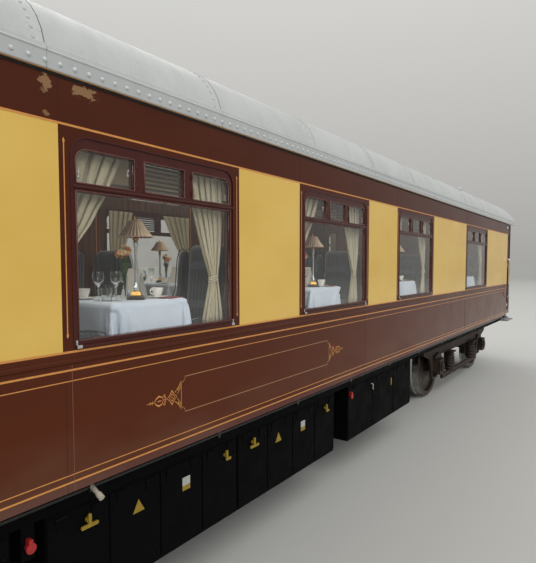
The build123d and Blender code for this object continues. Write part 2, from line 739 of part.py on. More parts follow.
def partition_face(x):
    """A wall across the coach from floor to ceiling, with its corridor doorway."""
    inner = (ROOF_HALF_W - ROOF_T, CORNER_R - ROOF_T, CROWN_R - ROOF_T)
    with BuildPart(mode=Mode.PRIVATE) as wall:
        with Locations((x, 0, FLOOR_Z)):
            Box(PARTITION_T, 2 * INNER_Y, EAVES_Z - FLOOR_Z, align=(Align.CENTER, Align.CENTER, Align.MIN))
        add(extrude(roof_profile(*inner, across(x - PARTITION_T / 2)), amount=PARTITION_T, mode=Mode.PRIVATE))
        with Locations((x, CORRIDOR_Y, FLOOR_Z)):
            Box(PARTITION_T, DOORWAY_W, DOORWAY_H, align=(Align.CENTER, Align.CENTER, Align.MIN),
                mode=Mode.SUBTRACT)
    return wall.part


VESTIBULE_WALL_X = SIDE_END_X - PARTITION_T / 2
with BuildPart() as partitions:
    for cross_walls in ((SALOON_END_X, LAVATORY_X, VESTIBULE_WALL_X), (-VESTIBULE_WALL_X, -SALOON_END_X)):
        for x in cross_walls:
            add(partition_face(x))
        for low, high in zip(cross_walls, cross_walls[1:]):
            with Locations(((low + high) / 2, CORRIDOR_WALL_Y, FLOOR_Z)):
                Box(high - low - PARTITION_T - 2 * SEAT, PARTITION_T, EAVES_Z - FLOOR_Z,
                    align=(Align.CENTER, Align.CENTER, Align.MIN))
save(partitions.part, "partitions")

# Tables, cloths, lamps and armchairs: one table at each saloon window, chairs facing it
TABLE_Y = INNER_Y - TABLE_FROM_WALL - TABLE_D / 2
seat_bays = [(x, side) for x, _, _ in saloon_windows for side in SIDES.values()]
seat_bays.append((COUPE_X, SIDES["near"]))

with BuildPart() as table_tops:
    for x, side in seat_bays:
        with Locations((x, side * TABLE_Y, FLOOR_Z + TABLE_H)):
            Box(TABLE_L, TABLE_D, TABLE_T, align=(Align.CENTER, Align.CENTER, Align.MAX))
save(table_tops.part, "table_tops")

# The leg near the wall is tied to it by a bracket below the cloth
CLOTH_Z = FLOOR_Z + TABLE_H + CLOTH_T
with BuildPart() as table_legs:
    for x, side in seat_bays:
        with Locations((x, side * (INNER_Y - LEG_FROM_WALL), FLOOR_Z)):
            Cylinder(TABLE_LEG_R, TABLE_H - TABLE_T, align=(Align.CENTER, Align.CENTER, Align.MIN))
        with Locations((x, side * INNER_Y, CLOTH_Z - CLOTH_DROP - TABLE_BRACKET)):
            Box(TABLE_BRACKET, LEG_FROM_WALL, TABLE_BRACKET,
                align=(Align.CENTER, Align.MIN if side < 0 else Align.MAX, Align.MAX))
save(table_legs.part, "table_legs")

with BuildPart() as cloths:
    for x, side in seat_bays:
        with Locations((x, side * TABLE_Y, CLOTH_Z)):
            Box(TABLE_L + 4 * CLOTH_T, TABLE_D + 4 * CLOTH_T, CLOTH_DROP,
                align=(Align.CENTER, Align.CENTER, Align.MAX))
        with Locations((x, side * TABLE_Y, CLOTH_Z - CLOTH_T)):
            Box(TABLE_L + 2 * CLOTH_T, TABLE_D + 2 * CLOTH_T, CLOTH_DROP,
                align=(Align.CENTER, Align.CENTER, Align.MAX), mode=Mode.SUBTRACT)
save(cloths.part, "tablecloths")

# Each lamp has a square stepped foot and a round stem
LAMP_Y = INNER_Y - LAMP_FROM_WALL
with BuildPart() as lamp:
    with BuildSketch(Plane.XY):
        Rectangle(LAMP_FOOT_W, LAMP_FOOT_W)
    extrude(amount=LAMP_FOOT_H)
    with BuildSketch(Plane.XY.offset(LAMP_FOOT_H)):
        Rectangle(LAMP_STEP_W, LAMP_STEP_W)
    extrude(amount=LAMP_STEP_H, taper=LAMP_STEP_TAPER)
    Cylinder(LAMP_STEM_R, LAMP_H, align=(Align.CENTER, Align.CENTER, Align.MIN))
with BuildPart() as lamps:
    for x, side in seat_bays:
        with Locations((x, side * LAMP_Y, CLOTH_Z)):
            add(lamp.part)
save(lamps.part, "table_lamps")

SHADE_Z = CLOTH_Z + LAMP_H
with BuildPart() as shades:
    for x, side in seat_bays:
        with Locations((x, side * LAMP_Y, SHADE_Z)):
            Cone(SHADE_BOTTOM_R, SHADE_TOP_R, SHADE_H, align=(Align.CENTER, Align.CENTER, Align.MIN))
save(shades.part, "lamp_shades")

# Armchairs: each is a seat on a plinth, a tall raked back and two arms that rise into wings, facing its table
CHAIR_Y = INNER_Y - CHAIR_FROM_WALL - CHAIR_W / 2
CHAIR_FRONT_X = TABLE_L / 2 + CHAIR_FROM_TABLE
SEAT_W = CHAIR_W - 2 * ARM_W
chair_places = []
for x, side in seat_bays:
    chair_places.append(Location((x - CHAIR_FRONT_X, side * CHAIR_Y, FLOOR_Z)))
    chair_places.append(Location((x + CHAIR_FRONT_X, side * CHAIR_Y, FLOOR_Z), (0, 0, 180)))

# Outlines seen from the side: distance behind the chair's front, and height
CHAIR_OUTLINES = {
    "chair_seats": [(0, PLINTH_H), (0, SEAT_H), (-CHAIR_D + BACK_RAKE + BACK_T, SEAT_H - 20),
                    (-CHAIR_D + BACK_RAKE + BACK_T, 0), (-PLINTH_IN, 0), (-PLINTH_IN, PLINTH_H)],
    "chair_backs": [(-CHAIR_D + BACK_RAKE + BACK_T, PLINTH_H), (-CHAIR_D + BACK_RAKE + BACK_T, SEAT_H),
                    (-CHAIR_D + BACK_T, CHAIR_H), (-CHAIR_D, CHAIR_H), (-CHAIR_D + BACK_RAKE, PLINTH_H)],
    "chair_arms": [(-20, PLINTH_H), (0, ARM_H), (-WING_FRONT + ARM_W, ARM_H + 20), (-WING_FRONT, ARM_H + 2 * ARM_W),
                   (-WING_FRONT - ARM_W / 2, CHAIR_H - ARM_W / 2), (-CHAIR_D + BACK_T / 9, CHAIR_H - ARM_W / 2),
                   (-CHAIR_D + BACK_RAKE, PLINTH_H)],
}
ROUNDED_HEIGHTS = {"chair_seats": (), "chair_backs": (CHAIR_H,), "chair_arms": (ARM_H, CHAIR_H - ARM_W / 2)}
for name, outline in CHAIR_OUTLINES.items():
    with BuildPart() as chair_piece:
        if name == "chair_arms":
            strips = [(CHAIR_W / 2, ARM_W - SEAT), (-SEAT_W / 2 - SEAT, ARM_W - SEAT)]
        else:
            strips = [(SEAT_W / 2, SEAT_W)]
        for start, thickness in strips:
            with BuildSketch(Plane.XZ.offset(start)) as side_view:
                with BuildLine():
                    Polyline(*outline, close=True)
                make_face()
                for height in ROUNDED_HEIGHTS[name]:
                    fillet([v for v in side_view.vertices() if abs(v.Y - height) < 1], CREST_R)
            extrude(amount=-thickness)
    with BuildPart() as chair_pieces:
        for place in chair_places:
            with Locations(place):
                add(chair_piece.part)
    save(chair_pieces.part, name)

# Curtains: a pair at each large window, drawn in at the tie
with BuildPart() as curtains:
    for side in SIDES:
        with BuildPart(mode=Mode.PRIVATE) as one_side:
            with BuildSketch(Plane.XZ.offset(INNER_Y - CURTAIN_FROM_WALL)):
                for x, unit, kind in WINDOWS[side]:
                    if kind == "kitchen":
                        continue
                    half = unit / 2 - SURROUND + STILE
                    for sign in (-1, 1):
                        rows = [(half, 0), (half - 100, 0), (half - 110, 330), (half - 300, 1000), (half, 1000)]
                        points = [(x + sign * px, BAND_Z + 20 + pz) for px, pz in rows]
                        with BuildLine(mode=Mode.PRIVATE) as outline:
                            Polyline(*points, close=True)
                        make_face(outline.edges())
            extrude(amount=-CURTAIN_T)
        add(to_side(one_side.part, side))
save(curtains.part, "curtains")

# Underframe: solebars, headstocks, cross bearers, longitudinal sills and the two body bolsters with their pivots
BEARER_XS = (900, 2700, 4500, SIDE_END_X - BEARER_W / 3)
with BuildPart() as underframe:
    for side in SIDES.values():
        with BuildSketch(Plane.YZ.offset(-HEADSTOCK_X)):
            with Locations((side * SOLEBAR_FACE_Y, SOLEBAR_Z)):
                outward = Align.MIN if side < 0 else Align.MAX
                Rectangle(SOLEBAR_FLANGE, SOLEBAR_H, align=(outward, Align.MIN))
            with Locations((side * (SOLEBAR_FACE_Y - SOLEBAR_T), SOLEBAR_Z + SOLEBAR_T)):
                Rectangle(SOLEBAR_FLANGE, SOLEBAR_H - 2 * SOLEBAR_T, align=(outward, Align.MIN),
                          mode=Mode.SUBTRACT)
        extrude(amount=2 * HEADSTOCK_X)
        with Locations((0, side * SILL_Y, DECK_Z)):
            Box(2 * BOGIE_X, SILL_W, BEARER_H, align=(Align.CENTER, Align.CENTER, Align.MAX))
    for end in ENDS.values():
        inward = Align.MAX if end > 0 else Align.MIN
        with Locations((end * HALF_LENGTH, 0, SIDE_Z)):
            Box(HEADSTOCK_T, 2 * SOLEBAR_FACE_Y, HEADSTOCK_H, align=(inward, Align.CENTER, Align.MAX))
        for x in BEARER_XS:
            with Locations((end * x, 0, DECK_Z)):
                Box(BEARER_W, 2 * (SOLEBAR_FACE_Y - SOLEBAR_T), BEARER_H,
                    align=(Align.CENTER, Align.CENTER, Align.MAX))
        with Locations((end * BOGIE_X, 0, SOLEBAR_Z)):
            Box(BODY_BOLSTER_W, 2 * (SOLEBAR_FACE_Y - SOLEBAR_T), SOLEBAR_H,
                align=(Align.CENTER, Align.CENTER, Align.MIN))
            Cylinder(BOWL_R, SOLEBAR_Z - BOLSTER_TOP_Z - 30, align=(Align.CENTER, Align.CENTER, Align.MAX))
            Cylinder(PIVOT_R, SOLEBAR_Z - BOLSTER_TOP_Z + PIVOT_DEPTH - 10,
                     align=(Align.CENTER, Align.CENTER, Align.MAX))
    with Locations((VALVE_POST_X, -CASE_FACE_Y - CASE_DOOR_T, SOLEBAR_Z)):
        Box(VALVE_POST_W, SOLEBAR_FLANGE, SOLEBAR_Z - HANDLE_Z + VALVE_POST_W,
            align=(Align.CENTER, Align.MIN, Align.MAX))
save(underframe.part, "underframe")

# Trusses under the sills
with BuildPart() as trusses:
    for side in SIDES.values():
        top_z = DECK_Z - BEARER_H
        with BuildSketch(Plane.XZ.offset(-side * SILL_Y - TRUSS_T / 2)):
            with BuildLine():
                Polyline((-TRUSS_HALF_TOP, top_z), (TRUSS_HALF_TOP, top_z), (TRUSS_HALF_BOTTOM, top_z - TRUSS_DEPTH),
                         (-TRUSS_HALF_BOTTOM, top_z - TRUSS_DEPTH), close=True)
            outline = make_face()
            offset(amount=-TRUSS_BAR, mode=Mode.SUBTRACT)
            for x in (-TRUSS_HALF_BOTTOM, 0, TRUSS_HALF_BOTTOM):
                with Locations((x, top_z)):
                    Rectangle(TRUSS_BAR, TRUSS_DEPTH, align=(Align.CENTER, Align.MAX))
        extrude(amount=TRUSS_T)
save(trusses.part, "trussing")

# Battery and equipment cases below the solebars, with their doors
with BuildPart() as cases:
    for side, rows in ((-1, NEAR_CASES), (1, FAR_CASES)):
        depth_align = Align.MIN if side < 0 else Align.MAX
        for x, length, doors in rows:
            with Locations((x, side * CASE_FACE_Y, SOLEBAR_Z)):
                Box(length, CASE_DEPTH, CASE_H, align=(Align.CENTER, depth_align, Align.MAX))
            door_w = length / doors
            for k in range(doors):
                door_x = x - length / 2 + (k + 0.5) * door_w
                with Locations((door_x, side * CASE_FACE_Y, SOLEBAR_Z - CASE_H / 2)):
                    Box(door_w - CASE_DOOR_GAP, CASE_DOOR_T, CASE_H - 4 * CASE_DOOR_GAP,
                        align=(Align.CENTER, Align.MAX if side < 0 else Align.MIN, Align.CENTER))
save(cases.part, "equipment_cases")

# Handles of the near cases: a boss and a flat bar, as an inverted T or an L
with BuildPart() as case_handles:
    face_y = -CASE_FACE_Y - CASE_DOOR_T
    for x, foot_side in CASE_HANDLES:
        with Locations(Location((x, face_y, HANDLE_Z), (90, 0, 0))):
            Cylinder(HANDLE_BOSS_R, HANDLE_BOSS_L, align=(Align.CENTER, Align.CENTER, Align.MIN))
        with BuildSketch(Plane.XZ.offset(-face_y + HANDLE_BOSS_L)):
            with Locations((x, HANDLE_Z)):
                RectangleRounded(HANDLE_BAR_W, HANDLE_STEM_H, HANDLE_BAR_W / 3)
            bar_l = HANDLE_BAR_L * (1 - foot_side / 2)
            bar_x = x + foot_side * (bar_l - HANDLE_BAR_W) / 2
            with Locations((bar_x, HANDLE_Z - (HANDLE_STEM_H - HANDLE_BAR_W) / 2)):
                RectangleRounded(bar_l, HANDLE_BAR_W, HANDLE_BAR_W / 3)
        extrude(amount=HANDLE_T)
save(case_handles.part, "case_handles")

with BuildPart() as valve_knobs:
    for x in VALVE_XS:
        with Locations(Location((x, face_y, HANDLE_Z), (90, 0, 0))):
            Cone(KNOB_R * 0.7, KNOB_R, KNOB_L, align=(Align.CENTER, Align.CENTER, Align.MIN))
        with BuildSketch(Plane.XZ.offset(-face_y)):
            with Locations((x, HANDLE_Z)):
                RectangleRounded(KNOB_LEVER_W, KNOB_LEVER_H, KNOB_LEVER_W / 3, align=(Align.CENTER, Align.MIN))
        extrude(amount=KNOB_L)
save(valve_knobs.part, "valve_knobs")

# Air reservoirs across the coach, hung from the sills
with BuildPart() as reservoirs:
    for end in ENDS.values():
        reservoir_z = DECK_Z - BEARER_H - RESERVOIR_R - 40
        with Locations(Location((end * RESERVOIR_X, 0, reservoir_z), (90, 0, 0))):
            Cylinder(RESERVOIR_R, RESERVOIR_L)
        for side in SIDES.values():
            with Locations((end * RESERVOIR_X, side * SILL_Y, DECK_Z - BEARER_H)):
                Box(40, 40, RESERVOIR_R, align=(Align.CENTER, Align.CENTER, Align.MAX))
save(reservoirs.part, "reservoirs")

# Electric conduit along each solebar, on its brackets
with BuildPart() as conduits:
    for side in SIDES.values():
        y = side * (SOLEBAR_FACE_Y + 2 * CONDUIT_R)
        z = DECK_Z - CONDUIT_BELOW_DECK
        with Locations(Location((0, y, z), (0, 90, 0))):
            Cylinder(CONDUIT_R, 2 * SIDE_END_X)
        for k in range(BRACKETS):
            bracket_x = (k - (BRACKETS - 1) / 2) * BRACKET_PITCH
            with Locations((bracket_x, side * SOLEBAR_FACE_Y, z)):
                Box(30, 3 * CONDUIT_R, 4 * CONDUIT_R,
                    align=(Align.CENTER, Align.MAX if side < 0 else Align.MIN, Align.CENTER))
save(conduits.part, "conduits")

# Filler pipe that leans out and down from one bracket of the near conduit
with BuildPart() as filler_pipe:
    bracket_y = -SOLEBAR_FACE_Y - 3 * CONDUIT_R
    filler_z = DECK_Z - CONDUIT_BELOW_DECK
    with Locations(Location((FILLER_X, bracket_y, filler_z), (90 + FILLER_TILT, 0, 0))):
        Cylinder(FILLER_R, 2 * FILLER_L, align=(Align.CENTER, Align.CENTER, Align.CENTER))
        with Locations((0, 0, FILLER_L * 2 / 3)):
            Cylinder(FILLER_R * 1.3, FILLER_L / 3, align=(Align.CENTER, Align.CENTER, Align.MIN))
    with Locations((FILLER_X, bracket_y, filler_z)):
        Box(2 * FILLER_L, 2 * FILLER_L, 2 * FILLER_L, align=(Align.CENTER, Align.MIN, Align.CENTER),
            mode=Mode.SUBTRACT)
save(filler_pipe.part, "filler_pipe")

# A small round lamp on each letterboard beside the doors
with BuildPart() as side_lamps:
    for end in ENDS.values():
        for side in SIDES.values():
            lamp_x = end * (SIDE_END_X - SIDE_LAMP_FROM_SIDE_END)
            lamp_z = EAVES_Z - SIDE_LAMP_BELOW_EAVES
            with Locations(Location((lamp_x, side * HALF_WIDTH, lamp_z), (-side * 90, 0, 0))):
                Cone(SIDE_LAMP_R, SIDE_LAMP_R * 0.7, SIDE_LAMP_OUT, align=(Align.CENTER, Align.CENTER, Align.MIN))
save(side_lamps.part, "side_lamps")

# Steps below the doors, hung from the solebars
with BuildPart() as steps:
    for end in ENDS.values():
        for side in SIDES.values():
            step_x = end * DOOR_MID_X
            outward = Align.MIN if side > 0 else Align.MAX
            with Locations((step_x, side * SOLEBAR_FACE_Y, SIDE_Z - STEP_DROP)):
                Box(DOOR_W, STEP_OUT_Y - SOLEBAR_FACE_Y, STEP_T, align=(Align.CENTER, outward, Align.MAX))
            for sign in (-1, 1):
                with Locations((step_x + sign * DOOR_W / 3, side * SOLEBAR_FACE_Y, SIDE_Z - STEP_DROP)):
                    Box(30, SOLEBAR_FLANGE, SOLEBAR_Z + 60 - SIDE_Z + STEP_DROP,
                        align=(Align.CENTER, outward, Align.MIN))
save(steps.part, "door_steps")

# Buffers
with BuildPart() as buffer:
    with BuildSketch(Plane.XZ):
        with BuildLine():
            stations = [(0, 0), (0, BUFFER_FLANGE_R), (BUFFER_FLANGE_T, BUFFER_FLANGE_R),
                        (BUFFER_FLANGE_T, BUFFER_CASE_R), (BUFFER_CASE_L, BUFFER_MOUTH_R),
                        (BUFFER_CASE_L, BUFFER_RAM_R), (BUFFER_REACH - BUFFER_HEAD_T, BUFFER_RAM_R),
                        (BUFFER_REACH - BUFFER_HEAD_T, 0)]
            Polyline(*[(HALF_LENGTH + along, radius) for along, radius in stations], close=True)
        make_face()
    revolve(axis=Axis.X)
    with BuildSketch(Plane.YZ.offset(HALF_LENGTH + BUFFER_REACH - BUFFER_HEAD_T)):
        Circle(BUFFER_HEAD_R)
        Rectangle(2 * BUFFER_HEAD_R, BUFFER_HEAD_H, mode=Mode.INTERSECT)
    extrude(amount=BUFFER_HEAD_T)
with BuildPart() as buffers:
    with Locations((0, -BUFFER_Y, BUFFER_Z), (0, BUFFER_Y, BUFFER_Z)):
        add(buffer.part)
save(doubled(buffers.part), "buffers")

# Couplers: a shank and a knuckle head
with BuildPart() as coupler:
    with BuildSketch(Plane.XY.offset(COUPLER_Z)):
        with BuildLine():
            x0 = HALF_LENGTH
            Polyline((x0, -SHANK / 2), (x0 + 230, -SHANK / 2), (x0 + 280, -SHANK), (x0 + COUPLER_REACH, -SHANK),
                     (x0 + COUPLER_REACH - 30, -SHANK / 3), (x0 + 300, -SHANK / 4), (x0 + 310, SHANK / 3),
                     (x0 + COUPLER_REACH - 20, SHANK / 3), (x0 + COUPLER_REACH - 10, SHANK),
                     (x0 + 280, SHANK), (x0 + 230, SHANK / 2), (x0, SHANK / 2), close=True)
        make_face()
    extrude(amount=SHANK / 2, both=True)
save(doubled(coupler.part), "couplers")

# Grab rails beside the doors, on the body sides: one round bar each, bent in to the side at both ends
with BuildPart() as grab_rail:
    low, high = RAIL_BAR_Z
    out_y = HALF_WIDTH + RAIL_BAR_OUT
    with BuildLine():
        FilletPolyline((0, HALF_WIDTH, low), (0, out_y, low), (0, out_y, high), (0, HALF_WIDTH, high),
                       radius=RAIL_BEND_R)
    with BuildSketch(Plane(origin=(0, HALF_WIDTH, low), x_dir=(1, 0, 0), z_dir=(0, 1, 0))):
        Circle(RAIL_BAR_R)
    sweep()
with BuildPart() as grab_rails:
    for end in ENDS.values():
        for side in SIDES.values():
            with Locations(Location((end * (SIDE_END_X - 4 * RAIL_BAR_R), 0, 0), (0, 0, 90 - side * 90))):
                add(grab_rail.part)
save(grab_rails.part, "grab_rails")

# Wheelset: two wheels pressed on one axle, turned about Y
HALF_BACK = BACK_TO_BACK / 2
TREAD_Y = HALF_BACK + TYRE_W
with BuildPart() as wheelset:
    with BuildSketch(Plane.XY):
        with BuildLine():
            flange_r = WHEEL_R + FLANGE_DEPTH
            web_y = HALF_BACK + (TYRE_W - WEB_T) / 2
            bore_r = AXLE_R + SEAT
            hub_web_y = web_y + WEB_DISH
            Polyline((bore_r, HALF_BACK - 20), (bore_r, HALF_BACK + HUB_W), (HUB_R, HALF_BACK + HUB_W - 10),
                     (HUB_R, hub_web_y + WEB_T), (WHEEL_R - RIM_T, web_y + WEB_T), (WHEEL_R - RIM_T, TREAD_Y),
                     (WHEEL_R - 4, TREAD_Y), (WHEEL_R, HALF_BACK + FLANGE_W),
                     (flange_r, HALF_BACK + FLANGE_W / 3), (flange_r - 6, HALF_BACK),
                     (WHEEL_R - RIM_T, HALF_BACK), (WHEEL_R - RIM_T, web_y), (HUB_R, hub_web_y),
                     (HUB_R, HALF_BACK - 20), close=True)
        make_face()
        with BuildLine():
            Polyline((0, 0), (0, JOURNAL_END_Y), (JOURNAL_R, JOURNAL_END_Y), (JOURNAL_R, HALF_BACK + HUB_W + 5),
                     (AXLE_R, HALF_BACK + HUB_W + 5), (AXLE_R, 0), close=True)
        make_face()
    revolve(axis=Axis.Y)
    mirror(about=Plane.XZ)

# Bogie frame, at the origin: side frames with horn ways and their tie bars, transoms, end bars, spring brackets
PLATE_OUT_Y = FRAME_Y + FRAME_PLATE
KNEE_IN_X = AXLE_X - PEDESTAL_W / 2 - PEDESTAL_LEG_IN * 2 / 3
KNEE_OUT_X = AXLE_X + PEDESTAL_W / 2 + PEDESTAL_LEG_IN
FRAME_FOOT_Z = FRAME_TOP_Z - FRAME_H
with BuildPart() as bogie_frame:
    with BuildSketch(Plane.XZ.offset(FRAME_Y)) as side_frame:
        with Locations((0, FRAME_TOP_Z)):
            Rectangle(2 * (AXLE_X - PEDESTAL_W / 2), FRAME_H, align=(Align.CENTER, Align.MAX))
        for sign in (-1, 1):
            with BuildLine(mode=Mode.PRIVATE) as horn:
                inner_x = sign * (AXLE_X - PEDESTAL_W / 2 - FRAME_H)
                Polyline((inner_x, FRAME_TOP_Z), (sign * FRAME_HALF_L, FRAME_TOP_Z),
                         (sign * FRAME_HALF_L, FRAME_TOP_Z - FRAME_H / 2), (sign * KNEE_OUT_X, FRAME_FOOT_Z),
                         (sign * (AXLE_X + PEDESTAL_W / 2 - PEDESTAL_LEG_IN), PEDESTAL_Z),
                         (sign * (AXLE_X - PEDESTAL_W / 2 + PEDESTAL_LEG_IN), PEDESTAL_Z),
                         (sign * KNEE_IN_X, FRAME_FOOT_Z), (inner_x, FRAME_FOOT_Z), close=True)
            make_face(horn.edges())
        knees = [v for v in side_frame.vertices()
                 if abs(v.Y - FRAME_FOOT_Z) < 1 and min(abs(abs(v.X) - KNEE_IN_X), abs(abs(v.X) - KNEE_OUT_X)) < 1]
        fillet(knees, KNEE_R)
        noses = [v for v in side_frame.vertices() if abs(abs(v.X) - FRAME_HALF_L) < 1]
        fillet(noses, NOSE_R)
        for sign in (-1, 1):
            with Locations((sign * AXLE_X, PEDESTAL_Z)):
                Rectangle(AXLEBOX_W + 2 * AXLEBOX_GAP, AXLE_Z + AXLEBOX_H / 2 - PEDESTAL_Z,
                          align=(Align.CENTER, Align.MIN), mode=Mode.SUBTRACT)
                Rectangle(PEDESTAL_W - 2 * PEDESTAL_LEG_IN, TIE_BAR_H, align=(Align.CENTER, Align.MAX))
    extrude(amount=FRAME_PLATE)
    mirror(about=Plane.XZ)
    for sign in (-1, 1):
        with Locations((sign * TRANSOM_X, 0, FRAME_TOP_Z)):
            Box(TRANSOM_W, 2 * FRAME_Y, FRAME_H, align=(Align.CENTER, Align.CENTER, Align.MAX))
        with Locations((sign * (FRAME_HALF_L - END_BAR_W / 2), 0, FRAME_TOP_Z)):
            Box(END_BAR_W, 2 * FRAME_Y, FRAME_H / 2, align=(Align.CENTER, Align.CENTER, Align.MAX))
        for side in SIDES.values():
            with Locations((sign * SPRING_X, side * PLATE_OUT_Y, SPRING_TOP_Z)):
                Box(2.4 * SPRING_R, BAR_Y + SPRING_R - PLATE_OUT_Y, BRACKET_T,
                    align=(Align.CENTER, Align.MIN if side > 0 else Align.MAX, Align.MIN))

# Primary suspension: axleboxes joined by an equaliser bar that dips between them and carries two springs
with BuildPart() as suspension:
    with BuildSketch(Plane.XZ.offset(BAR_Y - BAR_T / 2)):
        box_top = AXLE_Z + AXLEBOX_H / 2
        with BuildLine():
            outer = AXLE_X + AXLEBOX_W / 2
            inner = AXLE_X - AXLEBOX_W / 2
            Polyline((-outer, box_top), (-outer, box_top + BAR_H / 2), (-inner, box_top + BAR_H),
                     (-inner + 1.6 * BAR_H, box_top), (-inner + 3 * BAR_H, BAR_LOW_Z + BAR_H),
                     (inner - 3 * BAR_H, BAR_LOW_Z + BAR_H), (inner - 1.6 * BAR_H, box_top),
                     (inner, box_top + BAR_H), (outer, box_top + BAR_H / 2), (outer, box_top),
                     (inner - BAR_H / 2, box_top), (inner - 2.2 * BAR_H, BAR_LOW_Z),
                     (-inner + 2.2 * BAR_H, BAR_LOW_Z), (-inner + BAR_H / 2, box_top), close=True)
        make_face()
    extrude(amount=BAR_T)
    with BuildSketch(Plane.XZ.offset(BAR_Y)):
        with BuildLine():
            coil_h = (SPRING_TOP_Z - BAR_LOW_Z - BAR_H) / SPRING_COILS
            points = [(0, 0)]
            for k in range(SPRING_COILS):
                points += [(SPRING_R * 0.8, k * coil_h), (SPRING_R, (k + 0.5) * coil_h)]
            points += [(SPRING_R * 0.8, SPRING_COILS * coil_h), (0, SPRING_COILS * coil_h)]
            Polyline(*points, close=True)
        make_face()
    spring = revolve(axis=Axis((0, -BAR_Y, 0), (0, 0, 1)), mode=Mode.PRIVATE)
    for sign in (-1, 1):
        with Locations((sign * SPRING_X, 0, BAR_LOW_Z + BAR_H)):
            add(spring)
        with Locations((sign * AXLE_X, -FRAME_Y + 20, AXLE_Z)):
            Box(AXLEBOX_W, AXLEBOX_OUT_Y - FRAME_Y + 20, AXLEBOX_H, align=(Align.CENTER, Align.MAX, Align.CENTER))
        with Locations(Location((sign * AXLE_X, -AXLEBOX_OUT_Y, AXLE_Z), (90, 0, 0))):
            Cylinder(AXLEBOX_COVER_R, AXLEBOX_COVER_T, align=(Align.CENTER, Align.CENTER, Align.MIN))
        with Locations(Location((sign * AXLE_X, -FRAME_Y + 20, AXLE_Z), (90, 0, 0))):
            Cylinder(JOURNAL_R + JOURNAL_CLEARANCE, JOURNAL_END_Y - FRAME_Y + 20 + 2,
                     align=(Align.CENTER, Align.CENTER, Align.MIN), mode=Mode.SUBTRACT)
    mirror(about=Plane.XZ)

# Bogie bolster across the frame, with the pivot bowl and side bearers
with BuildPart() as bolster:
    with Locations((0, 0, BOLSTER_TOP_Z)):
        Box(BOLSTER_W, 2 * BOLSTER_HALF_L, BOLSTER_H, align=(Align.CENTER, Align.CENTER, Align.MAX))
        Cylinder(BOWL_R, 30 - 0.3, align=(Align.CENTER, Align.CENTER, Align.MIN))
        Cylinder(PIVOT_R + PIVOT_CLEARANCE, 30, align=(Align.CENTER, Align.CENTER, Align.MIN), mode=Mode.SUBTRACT)
        Cylinder(PIVOT_R + PIVOT_CLEARANCE, PIVOT_DEPTH, align=(Align.CENTER, Align.CENTER, Align.MAX),
                 mode=Mode.SUBTRACT)
    bearer_h = SOLEBAR_Z - BOLSTER_TOP_Z - SIDE_BEARER_GAP
    with Locations((0, -SIDE_BEARER_Y, BOLSTER_TOP_Z), (0, SIDE_BEARER_Y, BOLSTER_TOP_Z)):
        Cylinder(SIDE_BEARER_R, bearer_h, align=(Align.CENTER, Align.CENTER, Align.MIN))
    with Locations((0, 0, BOLSTER_TOP_Z - BOLSTER_H)):
        Box(2 * TRANSOM_X - TRANSOM_W, 2 * FRAME_Y, 30, align=(Align.CENTER, Align.CENTER, Align.MAX))

# Brake gear: beams across the bogie with a block on each wheel's inner side, and hangers from the frame
BLOCK_Y = HALF_BACK + FLANGE_W + (TYRE_W - FLANGE_W) / 2
BLOCK_W = TYRE_W - FLANGE_W - 16
with BuildPart() as brake_gear:
    for sign in (-1, 1):
        for side in SIDES.values():
            block_r = WHEEL_R + BLOCK_CLEARANCE
            with BuildSketch(Plane.XZ.offset(-side * BLOCK_Y - BLOCK_W / 2)):
                with BuildLine():
                    rise = block_r * sin(radians(BLOCK_ARC / 2))
                    near_x = block_r * cos(radians(BLOCK_ARC / 2))
                    ThreePointArc((-near_x, -rise), (-block_r, 0), (-near_x, rise))
                    Polyline((-near_x, rise), (-block_r - BLOCK_T, rise), (-block_r - BLOCK_T, -rise),
                             (-near_x, -rise))
                make_face()
            block = extrude(amount=BLOCK_W, mode=Mode.PRIVATE)
            turn = 0 if sign > 0 else 180
            with Locations(Location((sign * AXLE_X, 0, AXLE_Z), (0, 0, turn))):
                add(block)
            beam_x = sign * (AXLE_X - block_r - BLOCK_T)
            with Locations((beam_x, side * BLOCK_Y, AXLE_Z)):
                Box(40, BLOCK_W / 2, FRAME_TOP_Z - 30 - AXLE_Z,
                    align=(Align.MAX if sign > 0 else Align.MIN, Align.CENTER, Align.MIN))
            with Locations((beam_x, side * BLOCK_Y, FRAME_TOP_Z - 30)):
                Box(40, FRAME_Y - BLOCK_Y, 40, align=(Align.MAX if sign > 0 else Align.MIN,
                                                     Align.MIN if side > 0 else Align.MAX, Align.MAX))
        with Locations((sign * (AXLE_X - WHEEL_R - BLOCK_CLEARANCE - BLOCK_T), 0, AXLE_Z)):
            Box(60, 2 * BLOCK_Y, 50, align=(Align.MAX if sign > 0 else Align.MIN, Align.CENTER, Align.CENTER))

for end, sign in ENDS.items():
    bogie_pieces = ((bogie_frame, "bogie_frame"), (suspension, "suspension"), (bolster, "bogie_bolster"),
                    (brake_gear, "brake_gear"))
    for piece, name in bogie_pieces:
        with BuildPart() as placed:
            with Locations((sign * BOGIE_X, 0, 0)):
                add(piece.part)
        save(placed.part, f"{name}_{end}")
    for place, offset_x in (("outer", sign * AXLE_X), ("inner", -sign * AXLE_X)):
        with BuildPart() as placed:
            with Locations((sign * BOGIE_X + offset_x, 0, AXLE_Z)):
                add(wheelset.part)
        save(placed.part, f"wheelset_{end}_{place}")
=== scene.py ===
from math import asin, atan2, cos, degrees, pi, radians, sin, sqrt, tau

import bmesh
import bpy
import numpy as np
from mathutils import Matrix, Vector


